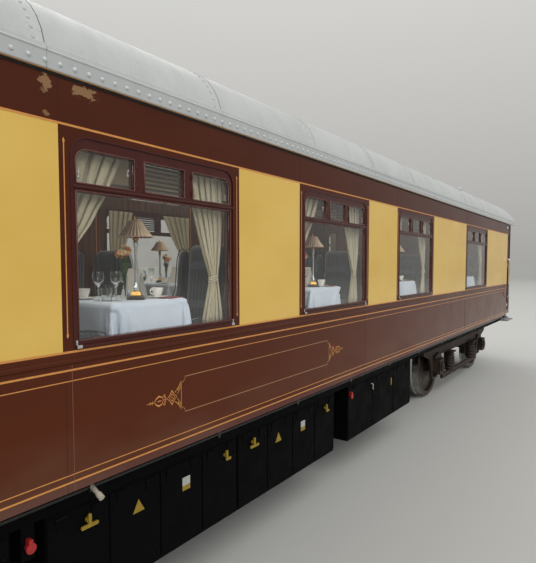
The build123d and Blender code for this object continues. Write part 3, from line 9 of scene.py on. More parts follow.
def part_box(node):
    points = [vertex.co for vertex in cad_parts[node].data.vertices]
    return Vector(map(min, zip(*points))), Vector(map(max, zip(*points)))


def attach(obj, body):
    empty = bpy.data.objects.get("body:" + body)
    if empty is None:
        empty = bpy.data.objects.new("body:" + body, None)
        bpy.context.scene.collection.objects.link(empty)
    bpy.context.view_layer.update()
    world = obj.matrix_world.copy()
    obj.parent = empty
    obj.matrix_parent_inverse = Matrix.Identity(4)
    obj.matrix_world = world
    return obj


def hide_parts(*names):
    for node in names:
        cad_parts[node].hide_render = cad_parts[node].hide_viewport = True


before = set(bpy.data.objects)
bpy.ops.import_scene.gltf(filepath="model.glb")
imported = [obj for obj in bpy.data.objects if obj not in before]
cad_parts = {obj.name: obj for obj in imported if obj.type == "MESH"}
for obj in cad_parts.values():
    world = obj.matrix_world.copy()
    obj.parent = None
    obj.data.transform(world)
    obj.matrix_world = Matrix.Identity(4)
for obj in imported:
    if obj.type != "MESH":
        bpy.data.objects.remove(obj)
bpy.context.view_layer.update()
scene = bpy.context.scene

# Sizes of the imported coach, in metres
side_low, side_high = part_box("side_walls")
cream_low, cream_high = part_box("cream_panels")
case_low, case_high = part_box("equipment_cases")
shade_low, shade_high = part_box("lamp_shades")
back_low, back_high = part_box("chair_backs")
roof_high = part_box("roof")[1]
table_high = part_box("table_tops")[1]
SIDE_X, HALF_L, FACE_Y = side_high.x, roof_high.x, cream_high.y
SIDE_Z, EAVES_Z = side_low.z, side_high.z
BAND_Z, BAND_TOP_Z = cream_low.z, cream_high.z
FLOOR_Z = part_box("floor")[1].z
WALL_T = 0.07
INNER_Y = FACE_Y - WALL_T

# The windows: a brown unit fills the height of the cream band, and the frame's opening is inside it
BAY = 2.205
SURROUND = 0.060
OPENING_UP = 0.010
OPENING_H, KITCHEN_OPENING_H = 1.070, 0.560
UNIT_W, COUPE_UNIT_W, KITCHEN_UNIT_W = 1.395, 1.600, 0.760
SALOON_XS = [(k - 1.5) * BAY for k in range(4)]
# The coupe's and the kitchen's windows, measured from their ends of the coach
COUPE_X = SIDE_X - 2.8
KITCHEN_XS = [2.05 - SIDE_X, 3.45 - SIDE_X]
LARGE = {-1: [(x, UNIT_W) for x in SALOON_XS] + [(COUPE_X, COUPE_UNIT_W)],
         1: [(x, UNIT_W) for x in [-3.5 * BAY, -2.5 * BAY] + SALOON_XS] + [(COUPE_X, COUPE_UNIT_W)]}
UNITS = {-1: LARGE[-1] + [(x, KITCHEN_UNIT_W) for x in KITCHEN_XS], 1: LARGE[1]}
SIDES = {-1: "near", 1: "far"}
ENDS = {1: "coupe", -1: "kitchen"}


# Shapes

def link(name, data):
    """A new object in the scene, for a mesh, a light or a camera."""
    made = bpy.data.objects.new(name, data)
    scene.collection.objects.link(made)
    return made


def link_mesh(name, verts, faces):
    mesh = bpy.data.meshes.new(name)
    mesh.from_pydata([tuple(v) for v in verts], [], faces)
    return link(name, mesh)


def net(rows, columns, close_rows=False, close_columns=False):
    """The faces of a net of points that are listed row by row. A closed net meets its start again."""
    spans, steps = rows if close_rows else rows - 1, columns if close_columns else columns - 1
    return [(r * columns + c, r * columns + (c + 1) % columns, (r + 1) % rows * columns + (c + 1) % columns,
             (r + 1) % rows * columns + c) for r in range(spans) for c in range(steps)]


def arc(centre, radius, start, end, steps):
    """Points of a circle in a plane, by angles in degrees."""
    angles = [radians(start + (end - start) * k / steps) for k in range(steps + 1)]
    return [(centre[0] + radius * cos(a), centre[1] + radius * sin(a)) for a in angles]


def one_for_each(value, count):
    return value if isinstance(value, (list, tuple)) else [value] * count


class Shape:
    """A mesh that collects simple solids, in metres in the coach's frame."""

    def __init__(self):
        self.verts, self.faces = [], []

    def add(self, verts, faces):
        base = len(self.verts)
        self.verts += [tuple(v) for v in verts]
        self.faces += [[base + i for i in face] for face in faces]
        return self

    def box(self, low, high):
        xs, ys, zs = [sorted(pair) for pair in zip(low, high)]
        verts = [(x, y, z) for x in xs for y in ys for z in zs]
        return self.add(verts, [(0, 1, 3, 2), (4, 6, 7, 5), (0, 4, 5, 1), (2, 3, 7, 6), (0, 2, 6, 4),
                                (1, 5, 7, 3)])

    def skin(self, verts, rings, sides, close=False):
        """Joins rings of points, with a cap at each end unless the last ring meets the first."""
        first, last = tuple(reversed(range(sides))), tuple(range((rings - 1) * sides, rings * sides))
        return self.add(verts, net(rings, sides, close, True) + ([] if close else [first, last]))

    def lathe(self, profile, origin=(0, 0, 0), axis=(0, 0, 1), sides=24, close=False):
        """Turns (radius, distance along the axis) points about the axis through origin."""
        axis = Vector(axis).normalized()
        across = axis.orthogonal().normalized()
        other = axis.cross(across)
        spokes = [across * cos(tau * k / sides) + other * sin(tau * k / sides) for k in range(sides)]
        verts = [Vector(origin) + axis * along + spoke * radius
                 for radius, along in profile for spoke in spokes]
        return self.skin(verts, len(profile), sides, close)

    def rod(self, start, end, radius, sides=12):
        start, end = Vector(start), Vector(end)
        return self.lathe([(radius, 0), (radius, (end - start).length)], start, end - start, sides)

    def tube(self, points, radius, sides=8, closed=False):
        """A round tube along points, with a radius for all or one for each."""
        points = [Vector(p) for p in points]
        count = len(points)
        radii = one_for_each(radius, count)
        verts, side = [], None
        for i, point in enumerate(points):
            ahead = points[(i + 1) % count] if closed or i < count - 1 else point
            behind = points[i - 1] if closed or i else point
            tangent = (ahead - behind).normalized()
            side = tangent.orthogonal() if side is None else side - tangent * side.dot(tangent)
            side.normalize()
            up = tangent.cross(side)
            for k in range(sides):
                a = tau * k / sides
                verts.append(point + (side * cos(a) + up * sin(a)) * radii[i])
        return self.skin(verts, count, sides, closed)

    def slab(self, outline, depth):
        """A flat plate: outline points, moved by the vector depth."""
        outline = [Vector(p) for p in outline]
        count = len(outline)
        verts = outline + [p + Vector(depth) for p in outline]
        faces = [tuple(range(count)), tuple(reversed(range(count, 2 * count)))]
        faces += [(k + count, (k + 1) % count + count, (k + 1) % count, k) for k in range(count)]
        return self.add(verts, faces)

    def ribbon(self, points, width, normal, thickness):
        """A flat strip of paint along points, with a width for all or one for each."""
        points, normal = [Vector(p) for p in points], Vector(normal).normalized()
        count = len(points)
        widths = one_for_each(width, count)
        closed = (points[0] - points[-1]).length < 1e-6
        verts = []
        for i, point in enumerate(points):
            ahead = points[1] if closed and i == count - 1 else points[min(i + 1, count - 1)]
            behind = points[-2] if closed and i == 0 else points[max(i - 1, 0)]
            before, after = (point - behind), (ahead - point)
            side = (ahead - behind).cross(normal).normalized()
            if before.length > 1e-7 and after.length > 1e-7:
                turn = before.normalized().dot(after.normalized())
                side /= max(0.35, sqrt((1 + turn) / 2))
            verts += [point + side * widths[i] * half + normal * lift
                      for lift in (0, thickness) for half in (-0.5, 0.5)]
        faces = []
        for a in range(0, 4 * (count - 1), 4):
            b = a + 4
            faces += [(a + 2, a + 3, b + 3, b + 2), (a, b, b + 1, a + 1), (a, a + 2, b + 2, b),
                      (a + 1, b + 1, b + 3, a + 3)]
        return self.add(verts, faces)

    def copies(self, shape, places=((0, 0, 0),)):
        """Adds shape once for each place: a vector or a matrix."""
        for place in places:
            matrix = place if isinstance(place, Matrix) else Matrix.Translation(place)
            self.add([matrix @ Vector(v) for v in shape.verts], shape.faces)
        return self

    def mirrored(self, x=1, y=1):
        """This shape, or its mirror image across the planes whose factor is -1."""
        faces = [tuple(reversed(f)) for f in self.faces] if x * y < 0 else self.faces
        return Shape().add([(x * a, y * b, c) for a, b, c in self.verts], faces)

    def both_sides(self):
        """This shape, made for the far side, with its mirror image on the near side."""
        return Shape().copies(self).copies(self.mirrored(y=-1))

    def both_ends(self):
        return Shape().copies(self).copies(self.mirrored(x=-1))

    def build(self, name, material, slot, body="coach", smooth=None, replaces=(), bevel=0.0):
        """Makes the piece: fixes its normals, softens its edges and ties it to its body."""
        piece = link_mesh(name, self.verts, self.faces)
        piece.data.validate()
        piece.data.materials.append(MATERIALS[material])
        editor = bmesh.new()
        editor.from_mesh(piece.data)
        bmesh.ops.recalc_face_normals(editor, faces=editor.faces)
        editor.to_mesh(piece.data)
        editor.free()
        if bevel:
            rounding = piece.modifiers.new("rounding", "BEVEL")
            rounding.width, rounding.segments, rounding.limit_method = bevel, 2, "ANGLE"
            rounding.angle_limit = BEVEL_ANGLE
        if smooth is not None:
            piece.data.shade_smooth()
            piece.data.set_sharp_from_angle(angle=radians(smooth))
        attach(piece, body)
        if replaces:
            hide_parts(*replaces)
        return piece

    def build_side(self, side, name, material, slot, **looks):
        """Builds a shape that was made for the far side on either side."""
        return self.mirrored(y=side).build(name + SIDES[side], material, slot, **looks)


def sheet_piece(piece, material, node, slot, thickness, offset, **sheet):
    """Gives a sheet its cloth material and its thickness, ties it to the coach and hides the CAD node."""
    piece.data.materials.append(MATERIALS[material])
    hem = piece.modifiers.new("thickness", "SOLIDIFY")
    hem.thickness, hem.offset = thickness, offset
    piece.data.shade_smooth()
    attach(piece, "coach")
    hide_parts(node)


# Materials

def rgb(code):
    """A colour's linear values from its six-digit code."""
    parts = [int(code[k:k + 2], 16) / 255 for k in (0, 2, 4)]
    return tuple(c / 12.92 if c <= 0.04045 else ((c + 0.055) / 1.055) ** 2.4 for c in parts) + (1.0,)


def gloss(specular, coat, coat_rough=0.05):
    return {"Specular IOR Level": specular, "Coat Weight": coat, "Coat Roughness": coat_rough}


def glow(colour, strength):
    return {"Emission Color": colour, "Emission Strength": strength}


class Surface:
    """A material's nodes, added by short calls. A colour is a six-digit code or a node's output."""

    def __init__(self, name, colour, rough, metal=0.0, inputs=None):
        self.mat = bpy.data.materials.new(name)
        self.mat.use_nodes = True
        self.tree = self.mat.node_tree
        self.bsdf = self.tree.nodes["Principled BSDF"]
        self.paint(colour, rough)
        self.set(self.bsdf, {"Metallic": metal, **(inputs or {})})
        self.place = self.add("TexCoord").outputs["Object"]

    def set(self, node, values):
        for key, value in values.items():
            if isinstance(value, bpy.types.NodeSocket):
                self.tree.links.new(value, node.inputs[key])
            else:
                node.inputs[key].default_value = rgb(value) if isinstance(value, str) else value

    def paint(self, colour=None, rough=None):
        for key, value in (("Base Color", colour), ("Roughness", rough)):
            if value is not None:
                self.set(self.bsdf, {key: value})

    def add(self, kind, inputs=None, **settings):
        node = self.tree.nodes.new("ShaderNode" + kind)
        for key, value in settings.items():
            setattr(node, key, value)
        self.set(node, inputs or {})
        return node

    def noise(self, scale, detail=3.0, stretch=(1, 1, 1), rough=0.5):
        spot = self.add("Mapping", {"Vector": self.place, "Scale": stretch}).outputs[0]
        return self.add("TexNoise", {"Vector": spot, "Scale": scale, "Detail": detail,
                                     "Roughness": rough}).outputs[0]

    def wave(self, scale, direction):
        inputs = {"Vector": self.place, "Scale": scale}
        return self.add("TexWave", inputs, bands_direction=direction).outputs[1]

    def span(self, value, low, high, to_low=0.0, to_high=1.0):
        return self.add("MapRange", {"Value": value, "From Min": low, "From Max": high, "To Min": to_low,
                                     "To Max": to_high}).outputs[0]

    def math(self, operation, a, b=0.0):
        return self.add("Math", {0: a, 1: b}, operation=operation).outputs[0]

    def length(self, spot):
        return self.add("VectorMath", {0: spot}, operation="LENGTH").outputs["Value"]

    def mix(self, share, a, b):
        return self.add("Mix", {0: share, 6: a, 7: b}, data_type="RGBA").outputs[2]

    def axis(self, letter):
        return self.add("SeparateXYZ", {0: self.place}).outputs[letter]

    def bump(self, height, strength, distance):
        made = self.add("Bump", {"Height": height, "Strength": strength, "Distance": distance})
        self.set(self.bsdf, {"Normal": made.outputs[0]})
        return self.mat

    def speckle(self, colour, amount, scale, rough_low, rough_high, stretch=(1, 1, 1)):
        """Varies the colour towards another, and the roughness, by one noise."""
        cloud = self.noise(scale, 5.0, stretch, 0.6)
        base = tuple(self.bsdf.inputs["Base Color"].default_value)
        self.paint(self.mix(self.span(cloud, 0.40, 0.72, 0.0, amount), base, colour),
                   self.span(cloud, 0.3, 0.7, rough_low, rough_high))
        return self.mat


# Bare patches on the near letterboard: centre X and Z, half width and half height
PAINT_LOSSES = [(-1.858, 3.162, 0.026, 0.042), (-1.650, 3.170, 0.066, 0.030), (-1.862, 3.020, 0.018, 0.012)]


def umber_paint():
    """Glossy brown coach paint, with road dust low down and bare patches above the second cream panel."""
    s = Surface("umber_paint", "52281c", 0.2, inputs=gloss(0.1, 0.06))
    height = s.axis("Z")
    cloud = s.noise(1.7, 5.0, (1, 1, 2.5))
    dust = s.math("MULTIPLY", s.span(height, SIDE_Z + 0.35, SIDE_Z, 0.0, 0.35), s.span(cloud, 0.35, 0.7))
    colour = s.mix(s.span(cloud, 0.35, 0.65, 0.0, 0.5), "461f11", "4e2415")
    colour = s.mix(s.span(height, BAND_Z + 0.1, BAND_Z - 0.3, 0.0, 0.6), colour, "572710")
    colour = s.mix(s.span(height, SIDE_Z + 0.048, SIDE_Z + 0.040), colour, "57302a")
    colour = s.mix(dust, colour, "6d5a4b")
    edge = s.noise(22.0, 4.0, (1, 1, 1.6), 0.65)
    bare = 0.0
    for x, z, half_x, half_z in PAINT_LOSSES:
        spot = s.add("Mapping", {"Vector": s.place, "Location": (-x / half_x, 0, -z / half_z),
                                 "Scale": (1 / half_x, 0, 1 / half_z)}).outputs[0]
        ragged = s.math("ADD", s.length(spot), s.span(edge, 0.3, 0.7, -0.75, 0.75))
        bare = s.math("MAXIMUM", s.span(ragged, 1.08, 0.96), bare)
    bare = s.math("MULTIPLY", bare, s.span(s.axis("Y"), -FACE_Y + 0.02, -FACE_Y + 0.01))
    s.paint(s.mix(bare, colour, s.mix(s.span(cloud, 0.4, 0.6), "6c5138", "87684a")),
            s.span(s.noise(3.0, 4.0), 0.3, 0.7, 0.14, 0.27))
    return s.bump(s.noise(1.1, 2.0), 0.12, 0.02)


def cream_paint():
    s = Surface("cream_paint", "d2af58", 0.16, inputs=gloss(0.24, 0.14))
    cloud = s.noise(1.3, 4.0, (1, 1, 2))
    s.paint(s.mix(s.span(cloud, 0.3, 0.7), "d0ab53", "d7b45f"), s.span(cloud, 0.3, 0.7, 0.12, 0.22))
    return s.bump(s.noise(1.0, 2.0), 0.10, 0.02)


def roof_paint():
    """Pale grey, with soot run down from the crown, a chalky bloom and a darker strip at the eaves."""
    s = Surface("roof_paint", "b6baba", 0.45)
    runs = s.noise(2.2, 6.0, (2.0, 0.9, 0.9), 0.65)
    colour = s.mix(s.span(runs, 0.42, 0.72, 0.0, 0.3), "b7bab9", "949898")
    colour = s.mix(s.span(s.noise(0.9, 5.0), 0.5, 0.75, 0.0, 0.3), colour, "a2a6a6")
    colour = s.mix(s.span(s.noise(60.0), 0.6, 0.75, 0.0, 0.25), colour, "74797a")
    colour = s.mix(s.span(s.axis("Z"), EAVES_Z + 0.100, EAVES_Z + 0.055, 0.0, 0.3), colour, "8f9496")
    s.paint(colour, s.span(runs, 0.3, 0.7, 0.36, 0.58))
    return s.bump(s.noise(1.6), 0.25, 0.03)


def worn(name, colour, other, amount, scale, rough_low, rough_high, metal=0.0, bump=0.0, inputs=None):
    """A worn surface: one colour clouded with another, and a fine bump."""
    s = Surface(name, colour, rough_low, metal, inputs)
    s.speckle(other, amount, scale, rough_low, rough_high)
    return s.bump(s.noise(scale * 3, 4.0), 0.4, bump) if bump else s.mat


def glass(name, colour):
    s = Surface(name, colour, 0.02, inputs={"Transmission Weight": 1.0, "IOR": 1.45})
    s.paint(rough=s.span(s.noise(6.0, 4.0), 0.45, 0.8, 0.0, 0.035))
    return s.mat


def weave(name, colour, other, threads):
    """Cloth: two crossed sets of threads over a soft change of colour."""
    s = Surface(name, colour, 0.85, inputs={"Sheen Weight": 0.3, "Sheen Roughness": 0.5})
    s.speckle(other, 0.5, 4.0, 0.75, 0.95)
    upright = s.math("MAXIMUM", s.wave(threads, "Y"), s.wave(threads, "Z"))
    return s.bump(s.math("MULTIPLY", s.wave(threads, "X"), upright), 0.25, 0.0006)


def upholstery():
    """Blue-grey moquette with fine upright stripes."""
    s = Surface("upholstery", "2c3442", 0.9, inputs={"Sheen Weight": 0.5})
    stripe = s.math("MAXIMUM", s.wave(9.0, "Y"), s.wave(9.0, "X"))
    colour = s.mix(s.span(stripe, 0.86, 0.95), "222834", "434b5b")
    s.paint(s.mix(s.span(s.noise(40.0), 0.4, 0.7, 0.0, 0.4), colour, "171b24"))
    return s.bump(s.noise(220.0, 2.0), 0.3, 0.0008)


def wood(name, dark, light):
    """Polished veneer, its figure running upright."""
    s = Surface(name, light, 0.25, inputs={"Coat Weight": 0.5})
    figure = s.noise(3.0, 8.0, (6.0, 6.0, 0.6), 0.6)
    grain = s.noise(45.0, 3.0, (3.0, 3.0, 0.15))
    share = s.math("MULTIPLY", s.span(figure, 0.35, 0.65), s.span(grain, 0.3, 0.7, 0.6, 1.0))
    s.paint(s.mix(share, dark, light))
    return s.mat


def black_iron():
    """Underframe black, dusty on its upper faces."""
    s = Surface("underframe_black", "060606", 0.5, inputs={"Specular IOR Level": 0.05})
    cloud = s.noise(5.0, 6.0, rough=0.65)
    up = s.add("SeparateXYZ", {0: s.add("NewGeometry").outputs["Normal"]}).outputs["Z"]
    dust = s.math("MULTIPLY", s.span(up, 0.2, 1.0, 0.01, 0.7), s.span(cloud, 0.35, 0.7))
    s.paint(s.mix(dust, "050506", "2b2622"), s.span(cloud, 0.3, 0.7, 0.5, 0.8))
    return s.bump(s.noise(30.0, 5.0), 0.3, 0.003)


def bogie_black():
    """Black iron, brown with brake dust."""
    s = Surface("bogie_black", "1c1917", 0.6, inputs={"Specular IOR Level": 0.3})
    cloud = s.noise(7.0, 7.0, rough=0.7)
    s.paint(s.mix(s.span(cloud, 0.4, 0.75), "191716", "4b382b"), s.span(cloud, 0.3, 0.7, 0.45, 0.85))
    return s.bump(s.noise(40.0, 5.0), 0.4, 0.003)


MATERIALS = {
    "umber": umber_paint(), "cream": cream_paint(), "roof": roof_paint(), "iron": black_iron(),
    "bogie": bogie_black(), "glass": glass("window_glass", "f5f5f2"), "clear": glass("clear_glass", "f4f7f7"),
    "veneer": wood("veneer", "3a1f12", "6b3f22"), "table": wood("table_wood", "2f190f", "5a3520"),
    "cloth": weave("tablecloth", "cfdae8", "bbc8da", 300.0),
    "linen": weave("curtain_linen", "b6ad92", "a0977d", 240.0), "moquette": upholstery(),
    "gold": Surface("gold_paint", "cf8d48", 0.32, 0.15).speckle("b07238", 0.5, 30.0, 0.26, 0.42),
    "frame": Surface("frame_paint", "431b16", 0.2, 0.0, gloss(0.16, 0.2, 0.06)).speckle(
        "33120f", 0.5, 9.0, 0.16, 0.30),
    "silk": Surface("shade_silk", "d3bda0", 0.7, 0.0, glow("ffd9b0", 0.05)).speckle(
        "ab9070", 0.4, 25.0, 0.6, 0.8),
}

# Worn surfaces: key, name, colour, the colour that clouds it and how much, the clouds' scale, the least and
# the greatest roughness, the share of metal and the bump's height
for key, *row in (
        ("wheel", "wheel_steel", "5b5049", "33271f", 0.8, 9.0, 0.35, 0.6, 0.8, 0.002),
        ("tread", "tread_steel", "a9a7a4", "6e6a66", 0.5, 14.0, 0.15, 0.35, 1.0),
        ("buffer", "buffer_steel", "2a2928", "57493d", 0.6, 12.0, 0.25, 0.5, 0.7, 0.001),
        ("leather", "bellows_leather", "1b1a19", "393430", 0.6, 20.0, 0.5, 0.8, 0.0, 0.003),
        ("chrome", "chrome", "d9dadb", "b5b7b9", 0.4, 10.0, 0.06, 0.16, 1.0),
        ("brass", "lamp_brass", "d0a35a", "9c7434", 0.5, 30.0, 0.14, 0.3, 1.0),
        ("step", "step_grey", "9fa2a1", "5f5d58", 0.8, 12.0, 0.5, 0.8, 0.0, 0.003),
        ("floor", "carpet", "4a3a35", "2f2522", 0.7, 30.0, 0.9, 1.0, 0.0, 0.002),
        ("pipe", "pipe_grey", "b3ac9c", "8d8474", 0.6, 30.0, 0.4, 0.6),
        ("lens", "lamp_lens", "dccdc7", "b9a49c", 0.5, 30.0, 0.08, 0.2),
        # A paler brown: the painted highlight along the right edge of each cover strip
        ("worn", "worn_umber", "7a5646", "5f3d30", 0.6, 9.0, 0.25, 0.4),
        # A brown paler than the frame: a painted highlight along the beads
        ("bead", "bead_paint", "5a322a", "40201b", 0.5, 14.0, 0.18, 0.3),
        ("louvre", "louvre_brown", "2c241e", "1f1915", 0.5, 14.0, 0.4, 0.6),
        ("silver", "silver_fitting", "c9c8c6", "9b9895", 0.5, 60.0, 0.16, 0.34, 0.9),
        # Near black: the dark panel joints, and the painted shadow strip under the eaves
        ("shadow", "joint_black", "0c0a0a", "191312", 0.5, 20.0, 0.6, 0.9),
        ("yellow", "sign_yellow", "8f7518", "6c5a15", 0.5, 30.0, 0.4, 0.6),
        ("conduit", "conduit_black", "0a0b0c", "181716", 0.5, 12.0, 0.18, 0.35),
        # A grey paler than the roof: painted highlight on the eaves ridge and the rivet heads
        ("ridge", "ridge_paint", "c9cccc", "a5a9aa", 0.5, 14.0, 0.35, 0.5),
        ("dull_gold", "dull_gold", "a07a52", "80603f", 0.5, 20.0, 0.4, 0.6),
        ("bronze", "foot_bronze", "34291f", "1f1814", 0.5, 40.0, 0.2, 0.35, 0.6),
        ("coil", "spring_steel", "2b2725", "4a3b31", 0.6, 18.0, 0.35, 0.6, 0.5),
        # A darker silk: painted shade on every second face of the lamp shades' pleats
        ("silk_fold", "shade_fold", "6e5a47", "5c4a3b", 0.5, 40.0, 0.6, 0.8),
        ("silk_band", "shade_band", "b08d78", "987560", 0.5, 40.0, 0.6, 0.8),
        ("frosted", "frosted_film", "a9b3b2", "97a2a2", 0.5, 20.0, 0.5, 0.7),
        # Darker grey: a painted shadow line beside each roof lap
        ("soot", "joint_soot", "5c6062", "43474a", 0.6, 20.0, 0.5, 0.7),
        ("white", "sign_white", "a9a9a1", "8c8c84", 0.5, 30.0, 0.4, 0.6),
        ("red", "valve_red", "a51f1f", "741717", 0.6, 30.0, 0.3, 0.5),
        ("ceiling", "ceiling_cream", "b3a88f", "9f947b", 0.4, 3.0, 0.5, 0.7),
        ("china", "china", "efeee9", "e2e0d8", 0.3, 10.0, 0.08, 0.15),
        ("opal", "opal_glass", "f4ead6", "e6d9c0", 0.3, 8.0, 0.2, 0.3, 0.0, 0.0, glow("ffe6c0", 0.8)),
        ("crystal", "cut_glass", "c9d0d4", "9fa8ad", 0.5, 40.0, 0.05, 0.12, 0.75),
        ("tea", "tea", "5a2c12", "4a220d", 0.5, 30.0, 0.1, 0.2),
        ("leaf", "leaf", "3f5b2e", "2a4220", 0.7, 30.0, 0.4, 0.6),
        ("petal", "petal", "ee9a58", "d27a3c", 0.6, 60.0, 0.5, 0.7),
        ("pale_petal", "pale_petal", "f7ddb0", "e8b67a", 0.6, 60.0, 0.5, 0.7),
        ("card", "card", "e4e2d8", "d5d2c6", 0.4, 8.0, 0.5, 0.7),
        ("folder", "folder_leather", "7d1a20", "5d1217", 0.6, 40.0, 0.3, 0.5, 0.0, 0.0005),
        ("piping", "piping", "171c27", "232a38", 0.5, 40.0, 0.6, 0.8)):
    MATERIALS[key] = worn(*row)

# The material of each CAD node. A node that the list doesn't name takes that of its name's beginning.
NODE_MATERIALS = {
    "umber": "side_walls end_walls end_fittings door", "cream": "cream_panels", "roof": "roof roof_vents",
    "frame": "window_frames", "glass": "window_glass door_glass", "floor": "floor",
    "leather": "gangway_bellows",
    "iron": "gangway_faceplates underframe trussing equipment_cases reservoirs", "conduit": "conduits",
    "veneer": "partitions", "table": "table_tops table_legs", "cloth": "tablecloths", "brass": "table_lamps",
    "silk": "lamp_shades", "moquette": "chair_seats chair_backs chair_arms", "linen": "curtains",
    "step": "door_steps", "buffer": "buffers couplers", "chrome": "grab_rails", "yellow": "case_handles",
    "red": "valve_knobs", "pipe": "filler_pipe", "lens": "side_lamps", "wheel": "wheelset",
    "bogie": "bogie_frame suspension bogie_bolster brake_gear",
}


WELD_DISTANCE, NODE_EDGE_ANGLE, BEVEL_ANGLE = 0.00002, radians(28), radians(40)


def dress_nodes():
    """Gives each CAD node its material, and smooths what is round on it."""
    keys = {node: key for key, nodes in NODE_MATERIALS.items() for node in nodes.split()}
    for name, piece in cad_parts.items():
        kind = max([node for node in keys if name == node or name.startswith(node + "_")], key=len)
        piece.data.materials.clear()
        piece.data.materials.append(MATERIALS[keys[kind]])
        piece.modifiers.new("weld", "WELD").merge_threshold = WELD_DISTANCE
        piece.data.shade_smooth()
        piece.modifiers.new("edges", "EDGE_SPLIT").split_angle = NODE_EDGE_ANGLE
        if "glass" in name:
            piece.visible_shadow = False


dress_nodes()

# Livery: gold lines, joints and cover strips, made on the far side's face and mirrored

PAINT_T, JOINT_T = 0.0008, 0.0006
OUT = FACE_Y + 0.0002
# Long lines: height and width. Uprights: distance in from a unit's edge, foot, top and length of a tip.
LONG_LINES = ((BAND_TOP_Z + 0.004, 0.011), (BAND_Z - 0.004, 0.011), (BAND_Z - 0.095, 0.010),
              (BAND_Z - 0.150, 0.005), (SIDE_Z + 0.051, 0.009), (SIDE_Z + 0.089, 0.005))
UPRIGHT_IN, UPRIGHT_FOOT, UPRIGHT_TOP, UPRIGHT_TIP = 0.028, BAND_Z + 0.065, BAND_TOP_Z - 0.060, 0.014


def stroke(shape, points, width):
    """Paints a line along (x, z) points, with a width for all or one for each."""
    shape.ribbon([(x, OUT, z) for x, z in points], width, (0, 1, 0), PAINT_T)


def livery_lines():
    lines = Shape()
    for z, width in LONG_LINES:
        lines.box((-SIDE_X, OUT, z - width / 2), (SIDE_X, OUT + PAINT_T, z + width / 2))
    lines.both_sides().build("livery_lines", "gold", "cream_paint")
    heights = [UPRIGHT_FOOT + k * UPRIGHT_TIP for k in range(3)]
    heights += [UPRIGHT_TOP - k * UPRIGHT_TIP for k in (2, 1, 0)]
    for side in SIDES:
        uprights = Shape()
        for x, unit in UNITS[side]:
            for sign in (-1, 1):
                stroke(uprights, [(x + sign * (unit / 2 - UPRIGHT_IN), z) for z in heights],
                       [0.001, 0.014, 0.006, 0.006, 0.014, 0.001])
        uprights.build_side(side, "livery_uprights_", "gold", "cream_paint")


# The joints between the letterboard's sheets, and the cover strips between the lower panels: a dark joint at
# a strip's left edge and a painted highlight at its right
SHEET_XS = (-8.415, -6.21, -4.005, -1.80, 0.405, 2.61, 5.75, 8.20)
STRIP_XS, STRIP_TOP = (-5.30, -1.77, 1.75, 5.76), BAND_Z - 0.07


def panel_joints():
    joints, edges = Shape(), Shape()
    for x in SHEET_XS:
        joints.box((x - 0.001, OUT, BAND_TOP_Z + 0.010), (x + 0.001, OUT + JOINT_T, EAVES_Z))
    for x in STRIP_XS:
        joints.box((x - 0.0190, OUT, SIDE_Z), (x - 0.0175, OUT + JOINT_T, STRIP_TOP))
        edges.box((x + 0.0170, OUT, SIDE_Z + 0.002), (x + 0.0195, OUT + 0.0010, STRIP_TOP))
    # The strip's right edge takes a paler brown as a painted highlight
    edges.both_sides().build("cover_strip_edges", "worn", "umber_paint")
    joints.both_sides().build("panel_joints", "shadow", "umber_paint")


# The name panel: a bare lined cartouche with a flourish at each end
CARTOUCHE_X, CARTOUCHE_HALF, CARTOUCHE_Z, CARTOUCHE_H, NOTCH = -0.03, 0.962, 1.493, 0.224, 0.034

# The flourish's strokes, for its upper half: distances outwards from the frame and up, and widths
FLOURISH = [
    ([(0.000, 0.092), (0.016, 0.066), (0.034, 0.046), (0.058, 0.026)], [0.0015, 0.0055, 0.0045, 0.003]),
    ([(0.006, 0.074), (0.006, 0.056), (0.014, 0.034), (0.038, 0.012)], [0.001, 0.004, 0.0035, 0.002]),
    ([(0.122, 0.000), (0.100, 0.016), (0.080, 0.043), (0.062, 0.018), (0.038, 0.000)],
     [0.003, 0.004, 0.0065, 0.004, 0.003]),
    ([(0.104, 0.000), (0.092, 0.010), (0.080, 0.023), (0.068, 0.010), (0.056, 0.000)],
     [0.002, 0.003, 0.004, 0.003, 0.002]),
    ([(0.150, 0.000), (0.163, 0.021), (0.187, 0.029), (0.208, 0.018), (0.224, 0.000)],
     [0.002, 0.006, 0.010, 0.007, 0.002]),
    ([(0.232, 0.000), (0.238, 0.013)], [0.0035, 0.0015]),
    ([(0.250, 0.000), (0.254, 0.009)], [0.0035, 0.0015]),
    ([(0.118, 0.000), (0.155, 0.000)], [0.0035, 0.0035]),
    ([(0.162, 0.000), (0.182, 0.000), (0.204, 0.000)], [0.001, 0.008, 0.001]),
    ([(0.222, 0.000), (0.245, 0.000), (0.285, 0.000)], [0.003, 0.008, 0.001]),
    ([(0.074, 0.000), (0.080, 0.000), (0.086, 0.000)], [0.001, 0.009, 0.001]),
]
# Centre, radius and turns of the curls between them
CURLS = [(0.020, 0.040, 0.012, 1.4), (0.144, 0.024, 0.009, 1.2), (0.136, 0.010, 0.005, 1.0)]


